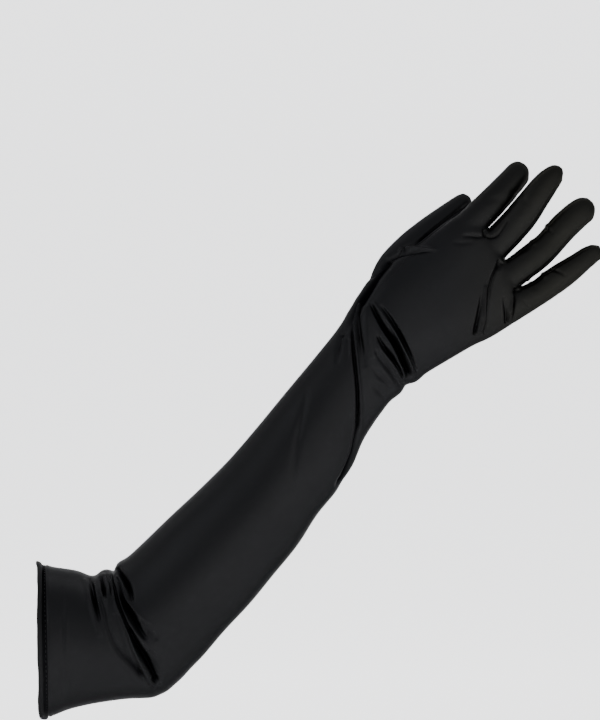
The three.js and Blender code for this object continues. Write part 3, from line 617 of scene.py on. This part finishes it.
def add_node(
    tree: bpy.types.NodeTree, kind: str, values: dict[str, float | tuple[float, ...]] | None = None
) -> bpy.types.Node:
    """Adds a node to a material.

    Args:
        tree: The material's node tree.
        kind: The node's type, without the word ShaderNode.
        values: The values of its sockets, by name.

    Returns:
        The node.
    """
    made = tree.nodes.new("ShaderNode" + kind)
    set_sockets(made, values or {})
    return made


def add_mix(
    tree: bpy.types.NodeTree, share: bpy.types.NodeSocket, end: tuple[float, float, float]
) -> bpy.types.Node:
    """Adds a mix towards a colour, with the colour that it starts from left to set.

    Args:
        tree: The material's node tree.
        share: The output that gives the mix's share, from 0 to 1.
        end: The colour that it mixes towards.

    Returns:
        The node.
    """
    made = add_node(tree, "Mix")
    made.data_type = "RGBA"
    made.inputs["B"].default_value = (*end, 1.0)
    tree.links.new(share, made.inputs["Factor"])
    return made


def new_material(name: str) -> tuple[bpy.types.Material, bpy.types.NodeTree, bpy.types.Node]:
    """Makes a material, and returns it with its tree and its surface shader."""
    material = bpy.data.materials.new(name)
    material.use_nodes = True
    return material, material.node_tree, material.node_tree.nodes["Principled BSDF"]


@dataclass(frozen=True)
class Satin:
    """The glove's black stretch satin.

    Attributes:
        name: The material's name.
        base: Its colour, linear.
        warm: Its colour towards the fingertips.
        gloss: The share of its light that the satin's floating yarns mirror.
        edge: How bright it is where it turns away.
        roughness: How soft its sheen is.
        cloudiness: How much its softness varies in faint clouds.
        grain: The depth of the weave's grain.
        seams_and_painted_shade: Whether the piece carries the seam attribute and the painted shade of its folds.
    """

    name: str = "black_satin"
    base: tuple[float, float, float] = (0.0175, 0.0175, 0.0182)
    warm: tuple[float, float, float] = (0.0185, 0.0182, 0.016)
    gloss: float = 1.0
    edge: float = 0.45
    roughness: float = 0.43
    cloudiness: float = 0.04
    grain: float = 0.12
    seams_and_painted_shade: bool = False

    def build(self) -> bpy.types.Material:
        """Makes the node material.

        Returns:
            The material.
        """
        material, tree, shader = new_material(self.name)
        tint = (self.edge, self.edge, self.edge, 1.0)
        set_sockets(shader, {"Metallic": self.gloss, "Specular IOR Level": 0.25, "Specular Tint": tint})
        where = add_node(tree, "TexCoord").outputs["Object"]

        split = add_node(tree, "SeparateXYZ")
        tree.links.new(where, split.inputs[0])
        towards_tips = add_node(tree, "MapRange", {"From Min": TIPS_FROM, "From Max": TIPS_TO})
        tree.links.new(split.outputs["X"], towards_tips.inputs["Value"])
        colour = add_mix(tree, towards_tips.outputs["Result"], self.warm)
        colour.inputs["A"].default_value = (*self.base, 1.0)
        tree.links.new(colour.outputs["Result"], shader.inputs["Base Color"])

        cloud = add_node(tree, "TexNoise", {"Scale": 28.0, "Detail": 3.0})
        tree.links.new(where, cloud.inputs["Vector"])
        softness = add_node(tree, "MapRange", {"From Min": 0.3, "From Max": 0.7})
        rough = {"To Min": self.roughness - self.cloudiness, "To Max": self.roughness + self.cloudiness}
        set_sockets(softness, rough)
        tree.links.new(cloud.outputs["Fac"], softness.inputs["Value"])
        tree.links.new(softness.outputs["Result"], shader.inputs["Roughness"])

        grain = add_node(tree, "TexNoise", {"Scale": 1900.0, "Detail": 2.0})
        tree.links.new(where, grain.inputs["Vector"])
        bump = add_node(tree, "Bump", {"Strength": self.grain, "Distance": 0.0002})
        tree.links.new(grain.outputs["Fac"], bump.inputs["Height"])
        out = bump.outputs["Normal"]
        if self.seams_and_painted_shade:
            out = self.seam_groove(tree, out)
            self.paint_fold_shade(tree, shader, colour.outputs["Result"])
        tree.links.new(out, shader.inputs["Normal"])
        return material

    def paint_fold_shade(
        self, tree: bpy.types.NodeTree, shader: bpy.types.Node, colour: bpy.types.NodeSocket
    ) -> None:
        """Paints shade into the bottoms of the deep folds, by darkening the cloth's colour there.

        Args:
            tree: The material's node tree.
            shader: The surface shader.
            colour: The cloth's colour outside the folds.
        """
        painted_shade = add_node(tree, "Attribute")
        painted_shade.attribute_name = "painted_shade"
        # painted shade: the colour turns nearly black at the bottoms of the deep folds
        shaded_colour = add_mix(tree, painted_shade.outputs["Fac"], (0.0015, 0.0015, 0.002))
        tree.links.new(colour, shaded_colour.inputs["A"])
        tree.links.new(shaded_colour.outputs["Result"], shader.inputs["Base Color"])

    def seam_groove(self, tree: bpy.types.NodeTree, normal: bpy.types.NodeSocket) -> bpy.types.NodeSocket:
        """Adds the fine groove of a seam, from the seam attribute's distance.

        Args:
            tree: The material's node tree.
            normal: The direction so far.

        Returns:
            The direction with the groove.
        """
        seam = add_node(tree, "Attribute")
        seam.attribute_name = "seam"
        away = add_node(tree, "Math")
        away.operation = "ABSOLUTE"
        tree.links.new(seam.outputs["Fac"], away.inputs[0])
        depth = add_node(tree, "MapRange", {"From Min": 0.0, "From Max": 0.7})
        depth.interpolation_type = "SMOOTHSTEP"
        tree.links.new(away.outputs[0], depth.inputs["Value"])
        bump = add_node(tree, "Bump", {"Strength": 0.7, "Distance": 0.0004})
        tree.links.new(depth.outputs["Result"], bump.inputs["Height"])
        tree.links.new(normal, bump.inputs["Normal"])
        return bump.outputs["Normal"]


def dress(piece: bpy.types.Object, material: bpy.types.Material, slot: str, *nodes: str) -> None:
    """Gives a piece its material and its body, and hides the CAD nodes that it stands for.

    Args:
        piece: The piece.
        material: Its material.
        slot: Not used.
        nodes: The CAD nodes that it replaces.
    """
    piece.data.materials.clear()
    piece.data.materials.append(material)
    if nodes:
        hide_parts(*nodes)
    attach(piece, BODY)
    LOG.info("%s: %d faces", piece.name, len(piece.data.polygons))


@dataclass
class Skin:
    """The glove's cloth from the hem to the fingertips, in one piece with its lining.

    Attributes:
        digits: The fingers and the thumb.
    """

    digits: dict[str, Digit] = field(default_factory=lambda: {name: Digit(name) for name in DIGIT_ROWS})

    def sleeve_rings(self) -> list[np.ndarray]:
        """Works out the sleeve's rings, from a little outside the hem to the fingers' roots."""
        rows = smooth_rows(SLEEVE_ROWS, SLEEVE_STEPS)
        ahead = SLEEVE_ROWS[0] - (SLEEVE_ROWS[1] - SLEEVE_ROWS[0])
        return [sleeve_ring(row, SLEEVE_SIDES, -SHRINK) for row in (ahead, *rows)]

    def base(self) -> bpy.types.Object:
        """Joins the lofts of the sleeve and of the digits into one even mesh, open at the hem."""
        bm = bmesh.new()
        add_loft(bm, self.sleeve_rings())
        for digit in self.digits.values():
            add_loft(bm, digit.rings())
        bmesh.ops.recalc_face_normals(bm, faces=bm.faces)
        made = make_object("glove_skin", bm)
        remesh = made.modifiers.new("even", "REMESH")
        remesh.mode = "VOXEL"
        remesh.voxel_size = VOXEL * MM
        settled(made)
        bm = bmesh.new()
        bm.from_mesh(made.data)
        for _ in range(SMOOTH_ROUNDS):
            soften(bm, bm.verts)
        bmesh.ops.bisect_plane(
            bm,
            geom=[*bm.verts, *bm.edges, *bm.faces],
            dist=1e-7,
            plane_co=Vector((EDGE_OF_SKIN + 1.0, 0.0, 0.0)) * MM,
            plane_no=Vector((1.0, SLEEVE_ROWS[0][6] / SLEEVE_ROWS[0][4], 0.02)).normalized(),
            clear_inner=True,
        )
        bm.to_mesh(made.data)
        points, outward = positions(made.data), normals(made.data)
        grown = (points + outward * REGAIN) * MM
        for vert, place_at in zip(bm.verts, grown):
            vert.co = place_at
        fine = self.near_folds(points, -outward[:, 1])
        bm.verts.ensure_lookup_table()
        marked = {bm.verts[k] for k in np.flatnonzero(fine)}
        edges = [edge for edge in bm.edges if edge.verts[0] in marked and edge.verts[1] in marked]
        bmesh.ops.subdivide_edges(bm, edges=edges, cuts=1, use_grid_fill=True)
        added = [vert for vert in bm.verts if vert.index >= len(points) or vert.index < 0]
        soften(bm, added)
        bm.to_mesh(made.data)
        bm.free()
        made.data.shade_smooth()
        LOG.info("%d points, %d of them near folds", len(made.data.vertices), len(marked))
        return made

    def fold_heights(self, points: np.ndarray, facing: np.ndarray) -> np.ndarray:
        """Adds up what all the folds do at each point.

        Args:
            points: The points, in millimetres.
            facing: How much each point's outward direction faces the camera, from -1 to 1.

        Returns:
            How far each point moves out.
        """
        seen = picture_plane(points)
        plain = points[:, [0, 2]]
        front = smoothstep(facing, -0.3, 0.3)
        heights = np.zeros(len(points))
        for fold in FOLDS:
            line = np.array(fold.line)
            margin = 3.0 * max(fold.width) + 4.0
            near = within(plain, line, margin)
            if fold.face is not Face.BACK:
                kept = near & (front > 0)
                heights[kept] += fold.height(seen[kept]) * front[kept]
            if fold.face is not Face.FRONT:
                kept = near & (front < 1)
                heights[kept] += fold.height(plain[kept]) * (1.0 - front[kept])
        return heights

    def near_folds(self, points: np.ndarray, facing: np.ndarray) -> np.ndarray:
        """Finds the points close enough to a fold to need a finer mesh."""
        seen = picture_plane(points)
        found = np.zeros(len(points), dtype=bool)
        for fold in FOLDS:
            line = np.array(fold.line)
            reach = FINE_REACH if min(fold.width) < 1.5 else 0.0
            near = within(seen, line, reach)
            if fold.face is Face.FRONT:
                near &= facing > -0.2
            elif fold.face is Face.BACK:
                near &= facing < 0.2
            near = np.flatnonzero(near & ~found)
            distance, _ = signed_distance(seen[near], line)
            found[near[np.abs(distance) < reach]] = True
        return found

    def unevenness(self, points: np.ndarray) -> np.ndarray:
        """Gives the slight waves of tight cloth, longer along the sleeve than across it."""
        turn = Matrix.Rotation(WAVE_TURN, 3, "Y")
        high, low = WAVE_HEIGHTS
        heights = np.empty(len(points))
        for k, point in enumerate(points):
            spot = Vector(a * b for a, b in zip(turn @ Vector(point), WAVE_SCALE))
            heights[k] = noise.noise(spot) * high + noise.noise(spot * FINER_WAVES) * low
        return heights

    def seam_lines(self) -> list[np.ndarray]:
        """Gives the lines of the seams on the outside, in millimetres."""
        lines = []
        strips = (("index", "middle", 0.14), ("middle", "ring", 0.07), ("ring", "little", 0.1))
        for upper, lower, upper_from in strips:
            for height in (-4.0, 4.0):
                one = self.digits[upper].side_line(1.0, height, upper_from, SEAM_END)
                other = self.digits[lower].side_line(-1.0, height, 0.12, SEAM_END)
                lines.append(np.vstack([one[::-1], other]))
        sleeve = [sleeve_ring(row, 36)[4] for row in smooth_rows(SLEEVE_ROWS, 2)[:-5]]
        lines.append(np.vstack([sleeve, self.digits["little"].side_line(1.0, 2.0, 0.15, SEAM_END)]))
        lines.append(self.digits["index"].side_line(-1.0, 3.0, 0.25, SEAM_END))
        return lines

    def seam_distance(self, points: np.ndarray, outward: np.ndarray) -> np.ndarray:
        """Measures how far each point lies from the nearest seam, along the surface.

        Args:
            points: The points, in millimetres.
            outward: Their outward directions.

        Returns:
            The distances, with a sign that tells the two sides of a seam apart, and no more than SEAM_FAR.
        """
        nearest = np.full(len(points), SEAM_FAR)
        signed = nearest.copy()
        for line in self.seam_lines():
            near = within(points, line, SEAM_FAR)
            some, facing = points[near], outward[near]
            best, sign = nearest[near], signed[near]
            for start, end in zip(line[:-1], line[1:]):
                run = end - start
                length = run @ run
                if length < 1e-9:
                    continue
                foot = np.clip((some - start) @ run / length, 0.0, 1.0)
                away = some - start - foot[:, None] * run
                distance = np.linalg.norm(away, axis=1)
                side = np.einsum("ij,ij->i", np.cross(run, facing), away)
                nearer = distance < best
                best = np.where(nearer, distance, best)
                sign = np.where(nearer, np.where(side >= 0, distance, -distance), sign)
            nearest[near], signed[near] = best, sign
        return self.thumb_seam(points, nearest, signed)

    def thumb_seam(self, points: np.ndarray, nearest: np.ndarray, signed: np.ndarray) -> np.ndarray:
        """Adds the seam round the thumb's root, where its loft meets the hand's.

        Args:
            points: The points, in millimetres.
            nearest: The distance to the nearest seam so far.
            signed: The same with its sign.

        Returns:
            The signed distances with this seam.
        """
        trees = []
        for rings in (self.sleeve_rings(), self.digits["thumb"].rings()):
            bm = bmesh.new()
            add_loft(bm, rings)
            trees.append(BVHTree.FromBMesh(bm))
            bm.free()
        for k in np.flatnonzero(within(points, np.array(THUMB_ROOT_BOX), 0.0)):
            spot = Vector(points[k]) * MM
            to_hand, to_thumb = (tree.find_nearest(spot)[3] / MM for tree in trees)
            value = (to_hand - to_thumb) * 0.8
            if abs(value) < nearest[k]:
                signed[k] = value
        return signed

    def lining(self, outer: bpy.types.Object) -> bpy.types.Mesh:
        """Makes the cloth's inner face: a lighter copy of the outer one, set in by its thickness."""
        copy = outer.copy()
        copy.data = outer.data.copy()
        bpy.context.scene.collection.objects.link(copy)
        thin = copy.modifiers.new("thin", "DECIMATE")
        thin.ratio = LINING_SHARE
        settled(copy)
        mesh = copy.data
        place(mesh, positions(mesh) - normals(mesh) * CLOTH)
        mesh.flip_normals()
        bpy.data.objects.remove(copy)
        return mesh

    def build(self, material: bpy.types.Material) -> bpy.types.Object:
        """Makes the skin with its folds, seams and lining.

        Args:
            material: Its material.

        Returns:
            The piece.
        """
        made = self.base()
        mesh = made.data
        points, outward = positions(mesh), normals(mesh)
        seam = self.seam_distance(points, outward)
        folds = self.fold_heights(points, -outward[:, 1])
        # painted shade: the deeper a fold, the more its colour is darkened
        painted_shade = smoothstep(-folds, *PAINTED_SHADE_DEPTHS)
        heights = folds + self.unevenness(points) - SEAM_DIP[0] * bell(seam, SEAM_DIP[1])
        from_groove = from_free_edge(points) - HEM_GROOVE
        heights -= HEM_PRESS[0] * bell(from_groove, HEM_PRESS[1])
        heights += HEM_LIP[0] * bell(from_groove - HEM_LIP_AT, HEM_LIP[1])
        place(mesh, points + outward * heights[:, None])
        for name, values in (("seam", seam), ("painted_shade", painted_shade)):
            mesh.attributes.new(name, "FLOAT", "POINT").data.foreach_set("value", values)
        lighter = made.modifiers.new("lighter", "DECIMATE")
        lighter.ratio = SKIN_SHARE
        mesh = settled(made).data
        inner = self.lining(made)
        bm = bmesh.new()
        bm.from_mesh(mesh)
        count = len(bm.verts)
        bm.from_mesh(inner)
        bpy.data.meshes.remove(inner)
        bm.verts.ensure_lookup_table()
        away, shade_layer = (bm.verts.layers.float[name] for name in ("seam", "painted_shade"))
        # the lining carries no seam and no painted shade
        for vert in bm.verts[count:]:
            vert[away], vert[shade_layer] = SEAM_FAR, 0.0
        bmesh.ops.bridge_loops(bm, edges=[edge for edge in bm.edges if edge.is_boundary])
        bm.to_mesh(mesh)
        bm.free()
        mesh.shade_smooth()
        dress(made, material, "black_satin", *SKIN_NODES)
        return made


@dataclass
class Hem:
    """The turned hem round the sleeve's opening, and the stitches that hold it.

    Attributes:
        width: The hem's width along the sleeve.
        stands_out: How far its outer face stands above the sleeve.
        flare: How much further the free edge stands out.
        inside: How far its inner face lies below the sleeve's outer one.
        stitch_line: Where the stitches run, from the free edge.
        stitch_length: The length of one stitch.
        stitch_pitch: From one stitch to the next.
        thread: The thread's radius.
        stations: The number of sections round the hem.
        ring_points: The number of places round the row of stitches at which its length is measured.
    """

    width: float = 5.5
    stands_out: float = 1.0
    flare: float = 0.5
    inside: float = 1.5
    stitch_line: float = 4.2
    stitch_length: float = 2.1
    stitch_pitch: float = 3.3
    thread: float = 0.24
    stations: int = 240
    ring_points: int = 2000

    def row_at(self, x: float) -> np.ndarray:
        """Gives the sleeve's section at a distance from the free edge."""
        share = x / (SLEEVE_ROWS[1][0] - SLEEVE_ROWS[0][0])
        return SLEEVE_ROWS[0] + (SLEEVE_ROWS[1] - SLEEVE_ROWS[0]) * share

    def profile(self) -> list[tuple[float, float]]:
        """Gives the hem's cross section: distance from the free edge, and height above the sleeve."""
        high = self.stands_out
        top = high + self.flare
        return [
            # the rolled edge
            (0.0, top - 0.85), (0.2, top - 0.25), (0.75, top), (1.7, top - 0.05), (2.5, high + 0.2),
            (2.9, high - 0.2),
            # the stitched groove
            (3.1, 0.3), (3.5, 0.0), (4.9, 0.0), (5.2, 0.1), (self.width, 0.0), (self.width + 0.1, -0.4),
            # the inner face
            (self.width, -self.inside - 0.5), (4.4, -self.inside - 0.9), (2.6, -self.inside - 0.6),
            (0.9, -self.inside), (0.25, -self.inside + 0.4), (0.0, -self.inside + 1.1),
        ]

    def sweep(self) -> np.ndarray:
        """Gives how far the free edge bends at each station: small waves and swept corners."""
        angle = np.arange(self.stations) / self.stations * 2.0 * math.pi
        wave = 0.16 * np.sin(5 * angle + 0.7) + 0.1 * np.sin(11 * angle + 2.0) + 0.05 * np.sin(23 * angle)
        lower = 3.8 * bell(np.minimum(angle, 2.0 * math.pi - angle), 0.22) - 0.9 * bell(angle - 5.6, 0.35)
        upper = -1.2 * bell(angle - math.pi, 0.25)
        return wave + lower + upper + 1.5 * np.minimum(np.sin(angle), 0.0)

    def band(self, material: bpy.types.Material) -> bpy.types.Object:
        """Makes the band.

        Args:
            material: Its material.

        Returns:
            The piece.
        """
        profile = self.profile()
        rings = [sleeve_ring(self.row_at(x), self.stations, out) for x, out in profile]
        around = np.array(rings).transpose(1, 0, 2)
        held = np.array([1.0 - 0.9 * min(x / self.width, 1.0) for x, _ in profile])
        around[:, :, 0] += self.sweep()[:, None] * held
        bm = bmesh.new()
        add_loft(bm, list(around), closed=True)
        seam, painted_shade = (bm.verts.layers.float.new(name) for name in ("seam", "painted_shade"))
        # painted shade in the stitched groove, darkest along the top of the hem
        in_groove = [1.0 if 3.0 < x < 5.3 and out > -1.0 else 0.0 for x, out in profile]
        for k, vert in enumerate(bm.verts):
            deep = 0.75 - 0.2 * math.cos(2.0 * math.pi * (k // len(profile)) / self.stations)
            vert[seam], vert[painted_shade] = SEAM_FAR, in_groove[k % len(profile)] * deep
        bmesh.ops.recalc_face_normals(bm, faces=bm.faces)
        made = make_object("hem", bm)
        dress(made, material, "hem_satin", "hem_band")
        return made

    def stitches(self, material: bpy.types.Material) -> bpy.types.Object:
        """Makes the row of stitches.

        Args:
            material: The thread's material.

        Returns:
            The piece.
        """
        ring = sleeve_ring(self.row_at(self.stitch_line), self.ring_points, self.thread / 2.0)
        runs = np.linalg.norm(np.roll(ring, -1, axis=0) - ring, axis=1)
        along = np.concatenate([[0.0], np.cumsum(runs)])
        count = round(along[-1] / self.stitch_pitch)
        bm = bmesh.new()
        for k in range(count):
            at = int(np.searchsorted(along, along[-1] * (k + 0.5) / count)) % len(ring)
            ahead = Vector(ring[(at + 3) % len(ring)] - ring[at - 3]).normalized()
            turn = Vector((0.0, 0.0, 1.0)).rotation_difference(ahead).to_matrix().to_4x4()
            size = Matrix.Diagonal((self.thread, self.thread, self.stitch_length / 2.0, 1.0))
            matrix = Matrix.Scale(MM, 4) @ Matrix.Translation(Vector(ring[at])) @ turn @ size
            bmesh.ops.create_uvsphere(bm, u_segments=8, v_segments=6, radius=1.0, matrix=matrix)
        made = make_object("hem_stitches", bm)
        dress(made, material, "hem_satin")
        return made


@dataclass
class Studio:
    """The pale floor and backdrop, the lights and the camera.

    Attributes:
        floor_height: The height of the floor, in metres.
        backdrop: The distance of the backdrop behind the glove, in metres.
        reach: How far the floor goes to each side, in metres.
        bend: The radius of the bend from the floor to the backdrop, in metres.
        bend_steps: The number of steps in that bend.
        glow_ahead: How far ahead of the backdrop the paper's glow starts to rise and is full, in metres.
    """

    floor_height: float = -0.32
    backdrop: float = 3.2
    reach: float = 9.0
    bend: float = 1.4
    bend_steps: int = 10
    glow_ahead: tuple[float, float] = (2.5, 1.9)

    def pale(self) -> bpy.types.Material:
        """Makes the pale paper of the floor and the backdrop."""
        material, tree, shader = new_material("pale_paper")
        pale, white = (0.9, 0.9, 0.9, 1.0), (1.0, 1.0, 1.0, 1.0)
        set_sockets(shader, {"Base Color": pale, "Roughness": 0.9, "Emission Color": white})
        split = add_node(tree, "SeparateXYZ")
        tree.links.new(add_node(tree, "TexCoord").outputs["Object"], split.inputs[0])
        start, end = (self.backdrop - nearer for nearer in self.glow_ahead)
        glow = add_node(tree, "MapRange", {"From Min": start, "From Max": end, "To Min": 0.4, "To Max": 1.5})
        tree.links.new(split.outputs["Y"], glow.inputs["Value"])
        tree.links.new(glow.outputs["Result"], shader.inputs["Emission Strength"])
        return material

    def paper(self) -> None:
        """Makes the floor and the backdrop in one swept sheet."""
        bm = bmesh.new()
        reach, bend, flat = self.reach, self.bend, self.backdrop - self.bend
        outline = [(-reach, 0.0), (flat, 0.0)]
        for k in range(1, self.bend_steps):
            angle = math.pi / 2 * k / self.bend_steps
            outline.append((flat + bend * math.sin(angle), bend - bend * math.cos(angle)))
        outline += [(self.backdrop, bend), (self.backdrop, 2 * reach)]
        verts = [bm.verts.new((-reach, y, z + self.floor_height)) for y, z in outline]
        edges = [bm.edges.new(pair) for pair in zip(verts[:-1], verts[1:])]
        moved = bmesh.ops.extrude_edge_only(bm, edges=edges)["geom"]
        bmesh.ops.translate(
            bm,
            verts=[item for item in moved if isinstance(item, bmesh.types.BMVert)],
            vec=Vector((2 * reach, 0.0, 0.0)),
        )
        made = make_object("paper", bm)
        made.data.materials.append(self.pale())

    def light(
        self, name: str, place_at: Vector, size: float, power: float, colour: tuple[float, float, float]
    ) -> None:
        """Adds a soft square light that faces the glove.

        Args:
            name: Its name.
            place_at: Its place, in metres.
            size: The length of its side, in metres.
            power: Its power in watts.
            colour: Its colour.
        """
        data = bpy.data.lights.new(name, "AREA")
        data.size = size
        data.energy = power
        data.color = colour
        made = bpy.data.objects.new(name, data)
        made.location = place_at
        aim = Vector(VIEW_CENTRE) * MM - place_at
        made.rotation_euler = aim.to_track_quat("-Z", "Y").to_euler()
        bpy.context.scene.collection.objects.link(made)

    def camera(self) -> None:
        """Sets the camera at the photograph's viewing angle."""
        data = bpy.data.cameras.new("camera")
        data.sensor_width = SENSOR_HEIGHT
        data.lens = SENSOR_HEIGHT * CAMERA_DISTANCE / FRAME_HEIGHT
        made = bpy.data.objects.new("camera", data)
        made.location = (Vector(VIEW_CENTRE) - Vector((0.0, CAMERA_DISTANCE, 0.0))) * MM
        made.rotation_euler = (math.pi / 2, 0.0, 0.0)
        bpy.context.scene.collection.objects.link(made)
        bpy.context.scene.camera = made

    def build(self) -> None:
        """Sets everything up."""
        self.paper()
        self.camera()
        self.light("key", Vector((0.9, -1.2, 0.15)), 1.8, 6.5, (1.0, 0.99, 0.97))
        self.light("side", Vector((-1.2, -0.9, 0.9)), 1.3, 4.5, (0.96, 0.98, 1.0))
        world = bpy.data.worlds.new("room")
        world.use_nodes = True
        set_sockets(world.node_tree.nodes["Background"], {"Color": (0.9, 0.93, 1.0, 1.0), "Strength": 0.66})
        bpy.context.scene.world = world


def main() -> None:
    """Builds the glove and its surroundings, and reports each piece."""
    logging.basicConfig(level=logging.INFO, format="%(message)s")
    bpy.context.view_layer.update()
    Studio().build()
    skin = Skin().build(Satin(seams_and_painted_shade=True).build())
    hem_satin = Satin(name="hem_satin", base=(0.017, 0.017, 0.0176), roughness=0.55, seams_and_painted_shade=True).build()
    thread = Satin(name="thread", base=(0.022, 0.022, 0.023), roughness=0.55).build()
    hem = Hem()
    band = hem.band(hem_satin)
    stitches = hem.stitches(thread)


if __name__ == "__main__":
    main()
